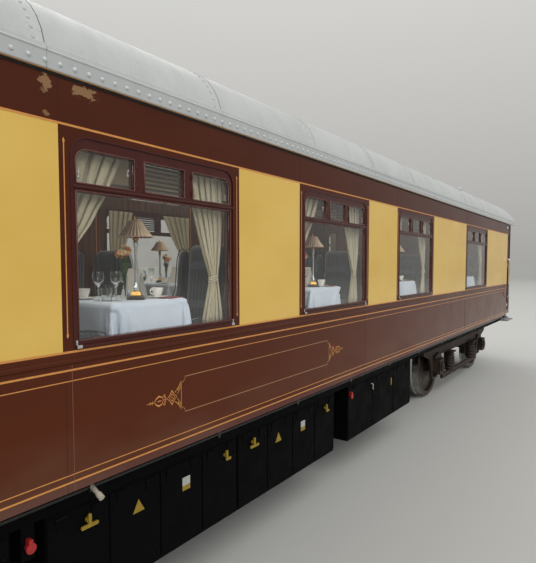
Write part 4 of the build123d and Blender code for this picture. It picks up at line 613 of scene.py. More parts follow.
def cartouche():
    frame_line, flourish = Shape(), Shape()
    corners = []
    for sx, sz in ((1, 1), (-1, 1), (-1, -1), (1, -1)):
        middle = degrees(atan2(-sz, -sx))
        centre = (CARTOUCHE_X + sx * CARTOUCHE_HALF, CARTOUCHE_Z + sz * CARTOUCHE_H / 2)
        corners += arc(centre, NOTCH, middle + 45, middle - 45, 8)
    stroke(frame_line, corners + corners[:1], 0.0036)
    strokes = list(FLOURISH)
    shares = [k / 14 for k in range(15)]
    for x, z, radius, turns in CURLS:
        reach = [(radius * (1 - 0.6 * t), tau * turns * t) for t in shares]
        strokes.append(([(x + r * cos(a), z + r * sin(a)) for r, a in reach],
                        [0.0015 + 0.003 * sin(pi * t) for t in shares]))
    for end in (-1, 1):
        for rows, widths in strokes:
            for up in (-1, 1) if any(z for x, z in rows) else (1,):
                line = [(CARTOUCHE_X + end * (CARTOUCHE_HALF + x), CARTOUCHE_Z + up * z) for x, z in rows]
                stroke(flourish, line, widths)
    frame_line.both_sides().build("name_frame", "dull_gold", "cream_paint")
    flourish.both_sides().build("name_flourishes", "gold", "cream_paint")


livery_lines()
panel_joints()
cartouche()


# Roof: a strip with rivets along the eaves, laps with studs at the joints and a painted shadow line beside
# each, and a gold line and a painted shadow strip below its edge

ROOF_HALF_W = roof_high.y - 0.006
CORNER_R, CROWN_R = 0.420, 3.200
ROOF_TILT = asin((ROOF_HALF_W - CORNER_R) / (CROWN_R - CORNER_R))
ROOF_HALF_ARC = CORNER_R * (pi / 2 - ROOF_TILT) + CROWN_R * ROOF_TILT
ROOF_RISE = CROWN_R - sqrt((CROWN_R - CORNER_R) ** 2 - (ROOF_HALF_W - CORNER_R) ** 2)
ROOF_PITCH, RIVET_PITCH, STUD_PITCH = 1.2573, 0.079, 0.052
JOINT_XS = [(k + 0.5) * ROOF_PITCH for k in range(-7, 7)]
# The gap in the strip at each joint, and how far above the eaves a lap starts
GAP_START, GAP_END, LAP_UP = 0.0235, 0.0265, 0.095
# The strip along the eaves, as distances out from the centre line and up from the edge of the CAD roof
EAVES_FOOT, RIDGE_UP, EAVES_OUT = -0.022, 0.063, roof_high.y + 0.0015
EAVES_STRIP = [(1.360, EAVES_FOOT), (EAVES_OUT - 0.002, EAVES_FOOT), (EAVES_OUT, EAVES_FOOT + 0.003),
               (EAVES_OUT, RIDGE_UP - 0.010), (EAVES_OUT + 0.003, RIDGE_UP - 0.005),
               (EAVES_OUT + 0.003, RIDGE_UP + 0.004), (EAVES_OUT, RIDGE_UP + 0.014),
               (EAVES_OUT - 0.003, RIDGE_UP + 0.025), (EAVES_OUT - 0.014, RIDGE_UP + 0.033),
               (1.355, RIDGE_UP + 0.036)]
STRIP_PAST, RIDGE_R, RIDGE_OUT = 0.001, 0.0045, 0.0005
# The rivets along the strip and the studs along the joints: radius and height, and their places
RIVET_SIZE, RIVET_UP, RIVET_FROM_END = (0.0125, 0.009), 0.013, 0.05
STUD_SIZE, STUD_FROM_JOINT = (0.0085, 0.006), 0.028
# Sections of a lap and of the painted shadow line beside it: distance along the coach, and height above the
# roof
LAP_SECTION = ((-0.012, 0.0), (0.0, 0.0035), (0.022, 0.0035), (0.024, 0.0))
LINE_SECTION = ((GAP_START, 0.0002), (GAP_START, 0.0042), (GAP_END, 0.0042), (GAP_END, 0.0002))


def roof_point(s, inside=0.0):
    """A point across the roof and its normal: s runs from the eaves at 0 over the crown to 2."""
    corner_r, crown_r = CORNER_R - inside, CROWN_R - inside
    corner_arc, crown_arc = corner_r * (pi / 2 - ROOF_TILT), crown_r * ROOF_TILT
    length = min(s, 2 - s) * (corner_arc + crown_arc)
    sign = 1 if s <= 1 else -1
    if length < corner_arc:
        a = length / corner_r
        y, z = ROOF_HALF_W - CORNER_R + corner_r * cos(a), corner_r * sin(a)
    else:
        a = pi / 2 - ROOF_TILT + (length - corner_arc) / crown_r
        y, z = crown_r * cos(a), ROOF_RISE - CROWN_R + crown_r * sin(a)
    return Vector((0, sign * y, EAVES_Z + z)), Vector((0, sign * cos(a), sin(a)))


def rivet(radius, height):
    """A domed head standing on z = 0."""
    rows = [(radius, -0.002), (radius, 0.001), (radius * 0.72, height * 0.75), (radius * 0.2, height)]
    return Shape().lathe(rows, sides=8)


def facing(point, normal):
    """The matrix that stands a shape's z axis along normal at point."""
    turn = Vector((0, 0, 1)).rotation_difference(Vector(normal))
    return Matrix.Translation(point) @ turn.to_matrix().to_4x4()


def eaves():
    rivets, strip, ridge = Shape(), Shape(), Shape()
    first = -HALF_L + RIVET_FROM_END
    for side in SIDES:
        rivets.copies(rivet(*RIVET_SIZE), [
            facing((first + k * RIVET_PITCH, side * EAVES_OUT, EAVES_Z + RIVET_UP), (0, side, 0))
            for k in range(int(-2 * first / RIVET_PITCH) + 1)])
    # The rivet heads take the paler grey: a painted highlight
    rivets.build("eaves_rivets", "ridge", "roof_paint", smooth=50)
    starts = [-HALF_L - STRIP_PAST] + [x + GAP_END for x in JOINT_XS]
    ends = [x + GAP_START for x in JOINT_XS] + [HALF_L + STRIP_PAST]
    for x0, x1 in zip(starts, ends):
        strip.slab([(x0, y, EAVES_Z + up) for y, up in EAVES_STRIP], (x1 - x0, 0, 0))
        ridge.rod(*[(x, EAVES_OUT + RIDGE_OUT, EAVES_Z + RIDGE_UP) for x in (x0, x1)], RIDGE_R, 10)
    strip.both_sides().build("eaves_strip", "roof", "roof_paint", smooth=30)
    # The ridge bead takes the paler grey: a painted highlight along its top
    ridge.both_sides().build("eaves_ridge", "ridge", "roof_paint", smooth=60)


def roof_joints():
    laps, studs, lines = Shape(), Shape(), Shape()
    stud = rivet(*STUD_SIZE)
    steps, first = 40, LAP_UP / ROOF_HALF_ARC
    stud_count = int(2 * ROOF_HALF_ARC / STUD_PITCH)
    rows = [roof_point(first + (2 - 2 * first) * k / steps) for k in range(steps + 1)]
    for x in JOINT_XS:
        laps.add([point + Vector((x + along, 0, 0)) + normal * lift for along, lift in LAP_SECTION
                  for point, normal in rows], net(4, steps + 1))
        lines.add([point + Vector((x + along, 0, 0)) + normal * lift for point, normal in rows
                   for along, lift in LINE_SECTION], net(steps + 1, 4, False, True))
        for k in range(2, stud_count - 1):
            point, normal = roof_point(2 * k / stud_count)
            studs.copies(stud, [facing(point + Vector((x - STUD_FROM_JOINT, 0, 0)), normal)])
    laps.build("roof_laps", "roof", "roof_paint", smooth=35)
    studs.build("roof_studs", "roof", "roof_paint")
    # A darker grey line beside each lap: a painted shadow
    lines.build("roof_joint_lines", "soot", "roof_paint")


def cantrail():
    # A painted shadow strip under the eaves, then the gold line at the roof's edge
    for name, material, slot, foot, out, top in (
            ("cantrail_shadow", "shadow", "umber_paint", -0.040, FACE_Y + 0.004, -0.020),
            ("cantrail_line", "dull_gold", "cream_paint", -0.027, EAVES_OUT - 0.003, -0.0225)):
        edge = Shape().box((-SIDE_X, FACE_Y - 0.004, EAVES_Z + foot), (SIDE_X, out, EAVES_Z + top))
        edge.both_sides().build(name, material, slot)


eaves()
roof_joints()
cantrail()


# Window furniture: beads round the panes, hinges, catches, louvres and the metal ends of the sills

FRAME_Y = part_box("window_frames")[1].y - 0.020
STILE, TOP_RAIL, TRANSOM, MULLION = 0.038, 0.070, 0.046, 0.078
TOPLIGHT_H, TOPLIGHT_R, CENTRE_SHARE = 0.165, 0.062, 0.30
SILL_H, SILL_OUT = 0.014, 0.020
OPENING_Z, OPENING_TOP_Z = BAND_Z + OPENING_UP, BAND_Z + OPENING_UP + OPENING_H
LIGHT_UP = OPENING_H - TOP_RAIL - TOPLIGHT_H
BEAD_R, BEAD_GAP = 0.0045, 0.0035
# A toplight's hinges: distances from the mullion, from the light's edges and out of the frame, and their size
HINGE_IN, HINGE_FROM_EDGE, HINGE_OUT, HINGE_R, HINGE_HALF = 0.013, 0.030, 0.004, 0.0058, 0.015
# Its catches: distance from the stile or the mullion and height there, a lever's bends and radii, and a knob
CATCH_IN, CATCH_AT_STILE, CATCH_AT_MULLION = 0.026, 0.048, 0.095
CATCH_BENDS = ((0, -0.026, -0.016), (0, -0.022, 0.006), (-0.005, -0.022, 0.018))
CATCH_RADII = [0.0030, 0.0042, 0.0026]
CATCH_KNOB = [(0.001, 0.0), (0.0065, 0.003), (0.0065, 0.008), (0.001, 0.011)]
LOUVRES, LOUVRE_SECTION = 6, ((-0.030, 0), (-0.044, 0.014), (-0.0445, 0.012), (-0.0305, -0.002))
# Frosted film: its gap to the frame and its two faces behind the frame's face
FILM_GAP, FILM_BACK, FILM_FRONT = 0.002, 0.019, 0.0175


def panes(unit):
    """Left, foot, right, top and rounded side of each pane, from the middle of the opening's foot."""
    half = unit / 2 - SURROUND - STILE
    centre = (half - MULLION) * CENTRE_SHARE
    top = LIGHT_UP + TOPLIGHT_H
    return [(-half, STILE, half, LIGHT_UP - TRANSOM, 0), (-half, LIGHT_UP, -centre - MULLION, top, -1),
            (-centre, LIGHT_UP, centre, top, 0), (centre + MULLION, LIGHT_UP, half, top, 1)]


def pane_loop(left, foot, right, top, rounded, out):
    """The outline of a pane, moved outwards by out, with short chamfers at its sharp corners."""
    cut, radius = 0.003, TOPLIGHT_R + out
    left, foot, right, top = left - out, foot - out, right + out, top + out
    corners = [[(left, foot + cut), (left + cut, foot)], [(right - cut, foot), (right, foot + cut)],
               [(right, top - cut), (right - cut, top)], [(left + cut, top), (left, top - cut)]]
    if rounded > 0:
        corners[2] = arc((right - radius, top - radius), radius, 0, 90, 8)
    if rounded < 0:
        corners[3] = arc((left + radius, top - radius), radius, 90, 180, 8)
    return [point for corner in corners for point in corner]


def toplight_metal(x, sign, stile, mullion, hinges, catches):
    """Two hinges and two catches of the toplight to one side of a window's middle."""
    light_z = OPENING_Z + LIGHT_UP
    hinge_x, hinge_y = x + sign * (mullion - HINGE_IN), FRAME_Y + HINGE_OUT
    for z in (light_z + HINGE_FROM_EDGE, light_z + TOPLIGHT_H - HINGE_FROM_EDGE):
        hinges.rod((hinge_x, hinge_y, z - HINGE_HALF), (hinge_x, hinge_y, z + HINGE_HALF), HINGE_R, 12)
    for spot, up in ((stile - CATCH_IN, CATCH_AT_STILE), (mullion + CATCH_IN, CATCH_AT_MULLION)):
        z = light_z + up
        bends = [(x + sign * (spot + along), FRAME_Y + out, z + rise) for along, out, rise in CATCH_BENDS]
        catches.tube(bends, CATCH_RADII, 10)
        catches.lathe(CATCH_KNOB, (x + sign * spot, FRAME_Y - 0.028, z - 0.018), (0, 1, 0), 12)


def sill_end(x, sign, sills):
    """An angle plate on the end of a sill at x."""
    sills.box((x, FRAME_Y, OPENING_Z - 0.001),
              (x - sign * 0.030, FRAME_Y + SILL_OUT + 0.0015, OPENING_Z + SILL_H + 0.0015))
    sills.box((x, FRAME_Y - 0.002, OPENING_Z), (x - sign * 0.010, FRAME_Y + 0.012, OPENING_Z + 0.040))


def window_furniture():
    for side in SIDES:
        beads, hinges, catches, sills, louvres = [Shape() for _ in range(5)]
        for x, unit in LARGE[side]:
            rows = panes(unit)
            for row in rows:
                loop = [(x + a, FRAME_Y, OPENING_Z + b) for a, b in pane_loop(*row, BEAD_GAP)]
                beads.tube(loop, BEAD_R, closed=True)
            for sign in (-1, 1):
                toplight_metal(x, sign, rows[0][2], rows[3][0], hinges, catches)
                border = unit / 2 - SURROUND
                sill_end(x + sign * (border - 0.012), sign, sills)
                for reach, up in ((0.012, -0.012), (0.012, 0.012), (-0.036, -0.012)):
                    spot = (x + sign * (border + reach), OUT if reach > 0 else FRAME_Y, BAND_Z + 0.50 + up)
                    hinges.lathe([(0.0052, -0.001), (0.0048, 0.0015), (0.002, 0.003)], spot, (0, 1, 0), 12)
            left, foot, right, top, _ = rows[2]
            for k in range(LOUVRES):
                z = OPENING_Z + foot + (top - foot) * (k + 0.7) / (LOUVRES + 0.4)
                louvres.slab([(x + left - 0.01, FRAME_Y + out, z + up) for out, up in LOUVRE_SECTION],
                             (right - left + 0.02, 0, 0))
        # The beads take a paler brown than the frame: a painted highlight
        for shape, name, material, slot in ((beads, "pane_beads_", "bead", "frame_paint"),
                                            (hinges, "toplight_hinges_", "frame", "frame_paint"),
                                            (catches, "toplight_catches_", "silver", "rail_chrome"),
                                            (sills, "sill_ends_", "silver", "rail_chrome"),
                                            (louvres, "toplight_louvres_", "louvre", "veneer")):
            shape.build_side(side, name, material, slot, smooth=50, bevel=0.0015 if shape is sills else 0.0)


def kitchen_panes():
    """Frosted film behind the glass of the kitchen windows."""
    film = Shape()
    half = KITCHEN_UNIT_W / 2 - SURROUND - STILE - FILM_GAP
    top = OPENING_TOP_Z - TOP_RAIL
    foot = OPENING_TOP_Z - KITCHEN_OPENING_H + STILE
    for x in KITCHEN_XS:
        for low, high in ((foot, top - TOPLIGHT_H - TRANSOM), (top - TOPLIGHT_H, top)):
            film.box((x - half, FRAME_Y - FILM_BACK, low + FILM_GAP),
                     (x + half, FRAME_Y - FILM_FRONT, high - FILM_GAP))
    film.mirrored(y=-1).build("frosted_panes", "frosted", "glass")


window_furniture()
kitchen_panes()



# Doors, gangways and axleboxes: the parts that the photograph doesn't show
DOOR_X, DOOR_HALF_W, DOOR_Y = 9.6883, 0.3042, 1.285
DOOR_FOOT_Z, LIGHT_FOOT_Z, LIGHT_HALF_W, LIGHT_H = 1.316, 2.326, 0.180, 0.690
PANEL_FOOT_Z, PANEL_TOP_Z, PANEL_HALF_W = 1.398, 2.244, 0.222
HINGE_ZS, LOCK_FOOT_Z, LOCK_TOP_Z, LOCK_HALF_W, PLATE_T = (1.50, 2.28, 3.08), 2.20, 2.36, 0.022, 0.003
# The drip bead below the light, and the kick plate: half width, foot, top and thickness
DRIP_BEAD = (0.20, LIGHT_FOOT_Z - 0.040, LIGHT_FOOT_Z - 0.026, 0.012)
KICK_PLATE = (0.27, DOOR_FOOT_Z + 0.012, DOOR_FOOT_Z + 0.066, 0.0015)
FACEPLATE_X, GANGWAY_HALF_W, GANGWAY_FOOT_Z, GANGWAY_TOP_Z = 10.4005, 0.395, 1.31, 3.215
RIM_W, RIM_T, BOLT_FOOT_Z, BOLT_PITCH, TOP_BOLT_PITCH = 0.015, 0.012, 1.32, 0.169, 0.1
HOOD_YS, HOOD_Z, HOOD_L, HOOD_T = (-0.50, -0.3, 0, 0.3, 0.50), 3.310, 0.250, 0.008
AXLE_XS, AXLE_Z, AXLEBOX_Y = (5.563, 8.611), 0.5615, 1.078
TREAD_Y, TREAD_R, COVER_BOLTS_R = 0.68, 0.520, 0.064
BOGIE_X, BOGIE_PLATE_Y, PLATE_TOP_Z, PLATE_FOOT_Z, PLATE_HALF_L = 7.087, 0.936, 0.874, 0.738, 1.16
PLATE_PITCH = 0.09
SPRING_X, SPRING_Y, SPRING_FOOT_Z, SPRING_TOP_Z, SPRING_TURNS = 0.760, 0.960, 0.385, 0.655, 5
SPRING_R, COIL_R = 0.088, 0.015
BUFFER_Y, BUFFER_Z, BUFFER_FLANGE_X, BUFFER_BOLTS_R = 0.876, 1.078, HALF_L + 0.025, 0.132


def frame_loop(half_w, foot, top, corner, width, out):
    """A bead of the given width round an upright opening at DOOR_X, standing out from the door's face."""
    rows = [(half_w - corner, foot + corner, -90), (half_w - corner, top - corner, 0),
            (corner - half_w, top - corner, 90), (corner - half_w, foot + corner, 180)]
    points = [(x, DOOR_Y, z) for middle, height, turn in rows
              for x, z in arc((DOOR_X + middle, height), corner, turn, turn + 90, 3)]
    return Shape().ribbon(points + points[:1], width, (0, 1, 0), out)


def door_furniture():
    """A bead round the light and the sunk panel, a kick plate, three hinges and a lock plate on each door."""
    beads, metal = Shape(), Shape()
    beads.copies(frame_loop(LIGHT_HALF_W + 0.010, LIGHT_FOOT_Z - 0.010, LIGHT_FOOT_Z + LIGHT_H + 0.010, 0.050,
                            0.024, 0.005))
    beads.copies(frame_loop(PANEL_HALF_W, PANEL_FOOT_Z, PANEL_TOP_Z, 0.010, 0.018, 0.004))
    for shape, (half_w, foot, top, out) in ((beads, DRIP_BEAD), (metal, KICK_PLATE)):
        shape.box((DOOR_X - half_w, DOOR_Y, foot), (DOOR_X + half_w, DOOR_Y + out, top))
    edge_x = DOOR_X + DOOR_HALF_W
    for z in HINGE_ZS:
        metal.box((edge_x - 0.050, DOOR_Y, z - 0.05), (edge_x - 0.003, DOOR_Y + PLATE_T, z + 0.05))
    lock_x = DOOR_X - DOOR_HALF_W + 0.045
    metal.box((lock_x - LOCK_HALF_W, DOOR_Y, LOCK_FOOT_Z),
              (lock_x + LOCK_HALF_W, DOOR_Y + PLATE_T, LOCK_TOP_Z))
    for z in (LOCK_FOOT_Z + 0.012, LOCK_TOP_Z - 0.012):
        metal.copies(rivet(0.005, 0.003), [facing((lock_x, DOOR_Y + PLATE_T, z), (0, 1, 0))])
    for side, side_name in SIDES.items():
        for end, end_name in ENDS.items():
            door = f"{side_name}_{end_name}"
            body = "door_" + door
            # The door's beads take the paler bead brown: a painted highlight
            beads.mirrored(end, side).build("beads_" + door, "bead", "door_paint", body, 30, bevel=0.001)
            metal.mirrored(end, side).build("metalwork_" + door, "brass", "lamp_brass", body, 30)


def gangway_fittings():
    """Bolts round the faceplate, a rubbing rim round its opening, and a rain hood above the bellows."""
    bolts, rim, hood = Shape(), Shape(), Shape()
    bolt_y, bolt_z = GANGWAY_HALF_W + 0.050, GANGWAY_TOP_Z + 0.045
    spots = [(y, BOLT_FOOT_Z + BOLT_PITCH * k) for k in range(12) for y in (-bolt_y, bolt_y)]
    spots += [(TOP_BOLT_PITCH * k, bolt_z) for k in range(-4, 5)]
    bolts.copies(rivet(0.012, 0.009), [facing((FACEPLATE_X, y, z), (1, 0, 0)) for y, z in spots])
    left, right = (-GANGWAY_HALF_W, RIM_W - GANGWAY_HALF_W), (GANGWAY_HALF_W - RIM_W, GANGWAY_HALF_W)
    top = (left[0], right[1])
    for (y0, y1), z0 in ((left, GANGWAY_FOOT_Z), (right, GANGWAY_FOOT_Z), (top, GANGWAY_TOP_Z - RIM_W)):
        rim.box((FACEPLATE_X, y0, z0), (FACEPLATE_X + RIM_T, y1, GANGWAY_TOP_Z))
    outline = [(y, 0) for y in HOOD_YS] + [(y, HOOD_T) for y in reversed(HOOD_YS)]
    hood.slab([(HALF_L, y, HOOD_Z + up + 0.020 * cos(y * 3.2)) for y, up in outline], (HOOD_L, 0, 0))
    bolts.both_ends().build("faceplate_bolts", "buffer", "buffer_steel", smooth=40)
    rim.both_ends().build("faceplate_rims", "tread", "buffer_steel")
    hood.both_ends().build("gangway_hoods", "leather", "bellows_leather", smooth=30)


def axlebox_fittings():
    """Bolts and an oil filler on each axlebox, rivets along the bogie frames, coils on the springs."""
    parts, coils = Shape(), Shape()
    spots = [(BOGIE_X + PLATE_PITCH * k, BOGIE_PLATE_Y, z) for k in range(-21, 22)
             for z in [PLATE_TOP_Z] + [PLATE_FOOT_Z] * (abs(PLATE_PITCH * k) < PLATE_HALF_L)]
    for axle_x in AXLE_XS:
        spots += [(x, AXLEBOX_Y, z) for x, z in arc((axle_x, AXLE_Z), COVER_BOLTS_R, 0, 300, 5)]
        cap = [(0.030, 0), (0.030, 0.006), (0.022, 0.012)]
        parts.lathe(cap, (axle_x, AXLEBOX_Y - 0.001, AXLE_Z), (0, 1, 0), 16)
    parts.copies(rivet(0.010, 0.010), [facing(spot, (0, 1, 0)) for spot in spots])
    steps = 20 * SPRING_TURNS
    for sign in (-1, 1):
        coil = arc((BOGIE_X + sign * SPRING_X, SPRING_Y), SPRING_R, 0, 360 * SPRING_TURNS, steps)
        coils.tube([(x, y, SPRING_FOOT_Z + (SPRING_TOP_Z - SPRING_FOOT_Z) * k / steps)
                    for k, (x, y) in enumerate(coil)], COIL_R)
    for end, name in ENDS.items():
        for shape, piece, material, smooth in ((parts, "axlebox_bolts_", "buffer", 40),
                                               (coils, "spring_coils_", "coil", 60)):
            made = shape.both_sides().mirrored(x=end)
            made.build(piece + name, material, "bogie_black", "bogie_" + name, smooth)


def buffer_bolts():
    bolts = Shape()
    for y in (-BUFFER_Y, BUFFER_Y):
        spots = arc((y, BUFFER_Z), BUFFER_BOLTS_R, 45, 315, 3)
        bolts.copies(rivet(0.016, 0.014), [facing((BUFFER_FLANGE_X, *spot), (1, 0, 0)) for spot in spots])
    bolts.both_ends().build("buffer_bolts", "buffer", "buffer_steel", smooth=40)


def second_material(piece, material, chosen):
    """Gives the faces for which chosen(centre, corners) is true another material."""
    piece.data.materials.append(MATERIALS[material])
    for face in piece.data.polygons:
        corners = [piece.data.vertices[k].co for k in face.vertices]
        face.material_index = int(chosen(sum(corners, Vector()) / len(corners), corners))


def polished_metal():
    """Rolling has polished the wheel treads, and the CAD doors' handles are chromed."""
    def on_tread(centre, corners):
        axle_x = min([end * x for end in ENDS for x in AXLE_XS], key=lambda middle: abs(middle - centre.x))
        least = min(Vector((c.x - axle_x, c.z - AXLE_Z)).length for c in corners)
        return abs(centre.y) > TREAD_Y and least > TREAD_R

    def on_handle(centre, corners):
        ys = [abs(c.y) for c in corners]
        return min(ys) > DOOR_Y - 0.0005 and max(ys) > DOOR_Y + 0.0005

    for name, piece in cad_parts.items():
        if name.startswith("wheelset"):
            second_material(piece, "tread", on_tread)
        elif name.startswith("door_") and "glass" not in name and "steps" not in name:
            second_material(piece, "chrome", on_handle)


door_furniture()
gangway_fittings()
axlebox_fittings()
buffer_bolts()
polished_metal()

# The equipment cases: centre X, length and number of doors of each, and the heights of the doors
CASES = {-1: [(-1.055, 1.560, 4), (0.515, 1.560, 4), (2.560, 1.900, 3), (-3.020, 2.000, 3)],
         1: [(-2.300, 2.600, 4), (0.700, 2.900, 5), (3.300, 1.500, 2)]}
CASE_Y, CASE_DOOR_TOP, CASE_DOOR_FOOT = case_high.y, case_high.z - 0.028, case_low.z + 0.028
# Blank signs: triangles, plates of two colours and a plain strip, by their X; and a hook
SIGN_Z, TRIANGLE_XS, PLATE_XS, STRIP_X, HOOK_X = 0.800, (-1.23, 0.29), (-0.82, 0.69), 2.80, 2.20
SIGN_T, TRIANGLE_HALF_W, TRIANGLE_H, PLATE_HALF_W = 0.0012, 0.045, 0.080, 0.036


def case_signs():
    yellow, white, grey = Shape(), Shape(), Shape()
    for x in TRIANGLE_XS:
        yellow.slab([(x - TRIANGLE_HALF_W, CASE_Y, SIGN_Z), (x + TRIANGLE_HALF_W, CASE_Y, SIGN_Z),
                     (x, CASE_Y, SIGN_Z + TRIANGLE_H)], (0, SIGN_T, 0))
    for x in PLATE_XS:
        for plate, foot, top in ((white, 0.022, 0.078), (yellow, -0.012, 0.021)):
            plate.box((x - PLATE_HALF_W, CASE_Y, SIGN_Z + foot),
                      (x + PLATE_HALF_W, CASE_Y + SIGN_T, SIGN_Z + top))
    yellow.box((STRIP_X, CASE_Y, SIGN_Z), (STRIP_X + 0.020, CASE_Y + 0.006, SIGN_Z + 0.090))
    grey.tube([(HOOK_X, CASE_Y + out, z) for out, z in
               ((-0.004, 0.93), (0.020, 0.935), (0.030, 0.915), (0.022, 0.885), (0.034, 0.870))], 0.006, 10)
    for shape, name, material in ((yellow, "blank_signs_yellow", "yellow"),
                                  (white, "blank_signs_white", "white"), (grey, "case_hook", "pipe")):
        shape.mirrored(y=-1).build(name, material, "handle_yellow")


def case_fittings():
    """Two hinges and four studs on each case's door."""
    heads, profile = Shape(), [(0.010, -0.001), (0.010, 0.003), (0.006, 0.007), (0.001, 0.008)]
    stud = Shape().lathe(profile, axis=(0, 1, 0), sides=12)
    hinge = Shape().rod((-0.035, 0.004, 0), (0.035, 0.004, 0), 0.007, 12)
    hinge.box((-0.028, -0.001, -0.055), (0.028, 0.0035, 0))
    for side, rows in CASES.items():
        doors = Shape()
        for x, length, count in rows:
            door_w = length / count
            for k in range(count):
                middle = x - length / 2 + (k + 0.5) * door_w
                for sign in (-1, 1):
                    doors.copies(hinge, [(middle + sign * door_w * 0.28, CASE_Y, CASE_DOOR_TOP - 0.020)])
                    doors.copies(stud, [(middle + sign * (door_w / 2 - 0.030), CASE_Y, z)
                                        for z in (CASE_DOOR_TOP - 0.10, CASE_DOOR_FOOT + 0.04)])
        heads.copies(doors.mirrored(y=side))
    heads.build("case_door_furniture", "iron", "underframe_black", smooth=50)


case_fittings()
case_signs()


# Inside: the lining of the walls, the ceiling and its lamps

LINING_T, LINING_GAP = 0.004, 0.0003
# Skirting, waist rail and cornice: height of the middle, height and thickness
RAILS = ((FLOOR_Z + 0.05, 0.10, 0.014), (BAND_Z - 0.03, 0.035, 0.018), (EAVES_Z - 0.06, 0.05, 0.016))
# The inlay's distance from its panel's edges, and the heights of its two loops
INLAY_IN, INLAY_W = 0.12, 0.006
INLAYS = ((FLOOR_Z + INLAY_IN, BAND_Z - 0.10), (BAND_Z + 0.06, EAVES_Z - INLAY_IN))
CEILING_DOWN, CEILING_T = 0.0823, 0.004
# A ceiling lamp's bowl and rim, as radius and height, and where the lamps hang
BOWL = [(0.150, 0.0), (0.145, -0.03), (0.115, -0.065), (0.06, -0.085), (0.006, -0.09)]
BOWL_RIM = [(0.152, 0.004), (0.172, 0.0), (0.175, -0.014), (0.152, -0.018)]
BOWL_XS = [-7.1, -3.3, -1.1, 1.1, 3.3, 6.2]


def window_opening(x, unit):
    """Left, right and foot of a window's opening."""
    lift = OPENING_H - KITCHEN_OPENING_H if unit == KITCHEN_UNIT_W else 0
    return x - unit / 2 + SURROUND, x + unit / 2 - SURROUND, OPENING_Z + lift


def wall_lining():
    inside = SIDE_X - 0.045
    near, far = INNER_Y - LINING_T, INNER_Y - LINING_GAP
    for side in SIDES:
        veneer, strings = Shape(), Shape()
        bounds = [-inside]
        for x, unit in sorted(UNITS[side]):
            left, right, foot = window_opening(x, unit)
            bounds += [left, right]
            veneer.box((left, near, FLOOR_Z), (right, far, foot))
            veneer.box((left, near, OPENING_TOP_Z), (right, far, EAVES_Z))
        bounds.append(inside)
        for left, right in zip(bounds[0::2], bounds[1::2]):
            veneer.box((left, near, FLOOR_Z), (right, far, EAVES_Z))
            if right - left > 0.3:
                for z0, z1 in INLAYS:
                    x0, x1 = left + INLAY_IN, right - INLAY_IN
                    loop = [(x0, near, z0), (x1, near, z0), (x1, near, z1), (x0, near, z1), (x0, near, z0)]
                    strings.ribbon(loop, INLAY_W, (0, -1, 0), PAINT_T)
        for z, height, out in RAILS:
            veneer.box((-inside, INNER_Y - out, z - height / 2), (inside, far, z + height / 2))
        veneer.build_side(side, "wall_lining_", "veneer", "veneer")
        strings.build_side(side, "lining_inlay_", "gold", "veneer")


def ceiling():
    steps, inside = 36, SIDE_X - 0.03
    rows = [roof_point(0.004 + 1.992 * k / steps, CEILING_DOWN) for k in range(steps + 1)]
    verts = [point + Vector((x, 0, 0)) - normal * depth for point, normal in rows
             for x, depth in ((-inside, 0), (-inside, CEILING_T), (inside, CEILING_T), (inside, 0))]
    Shape().skin(verts, steps + 1, 4).build("ceiling", "ceiling", "cream_paint", smooth=40)
    bowls, rims = Shape(), Shape()
    top = roof_point(1.0, CEILING_DOWN + CEILING_T)[0].z
    for x in BOWL_XS:
        bowls.lathe(BOWL, (x, 0, top), sides=32)
        rims.lathe(BOWL_RIM, (x, 0, top), sides=32, close=True)
    bowls.build("ceiling_bowls", "opal", "shade_silk", smooth=50)
    rims.build("ceiling_rims", "brass", "lamp_brass", smooth=40)


wall_lining()
ceiling()


# Tables: the CAD tops stand off the walls, and carry a draped cloth, a lamp and the tableware
TABLE_L, TABLE_D = 0.580, 0.600
TABLE_Z, TABLE_Y, TABLE_EDGE_Y = table_high.z, table_high.y - TABLE_D / 2, table_high.y
TABLES = [(x, side) for x in SALOON_XS for side in SIDES] + [(COUPE_X, -1)]
CLOTH_OVER, CLOTH_STEP, CLOTH_THICK, CLOTH_FRAMES = 0.262, 0.021, 0.0015, 60
CLOTH_W, CLOTH_L = TABLE_L + 2 * CLOTH_OVER, TABLE_D + 2 * CLOTH_OVER
CLOTH_Z = TABLE_Z + 0.0075
PAD_FRAMES = 20


def simulated(piece, setup, frames):
    """The vertices of a piece, as an array, after its cloth has moved for some frames."""
    setup.point_cache.frame_start, setup.point_cache.frame_end = 1, frames
    for number in range(1, frames + 1):
        scene.frame_set(number)
    shown = piece.evaluated_get(bpy.context.evaluated_depsgraph_get())
    mesh = shown.to_mesh()
    spots = np.array([v.co[:] for v in mesh.vertices])
    shown.to_mesh_clear()
    return spots


def remove(piece):
    mesh = piece.data
    bpy.data.objects.remove(piece)
    bpy.data.meshes.remove(mesh)


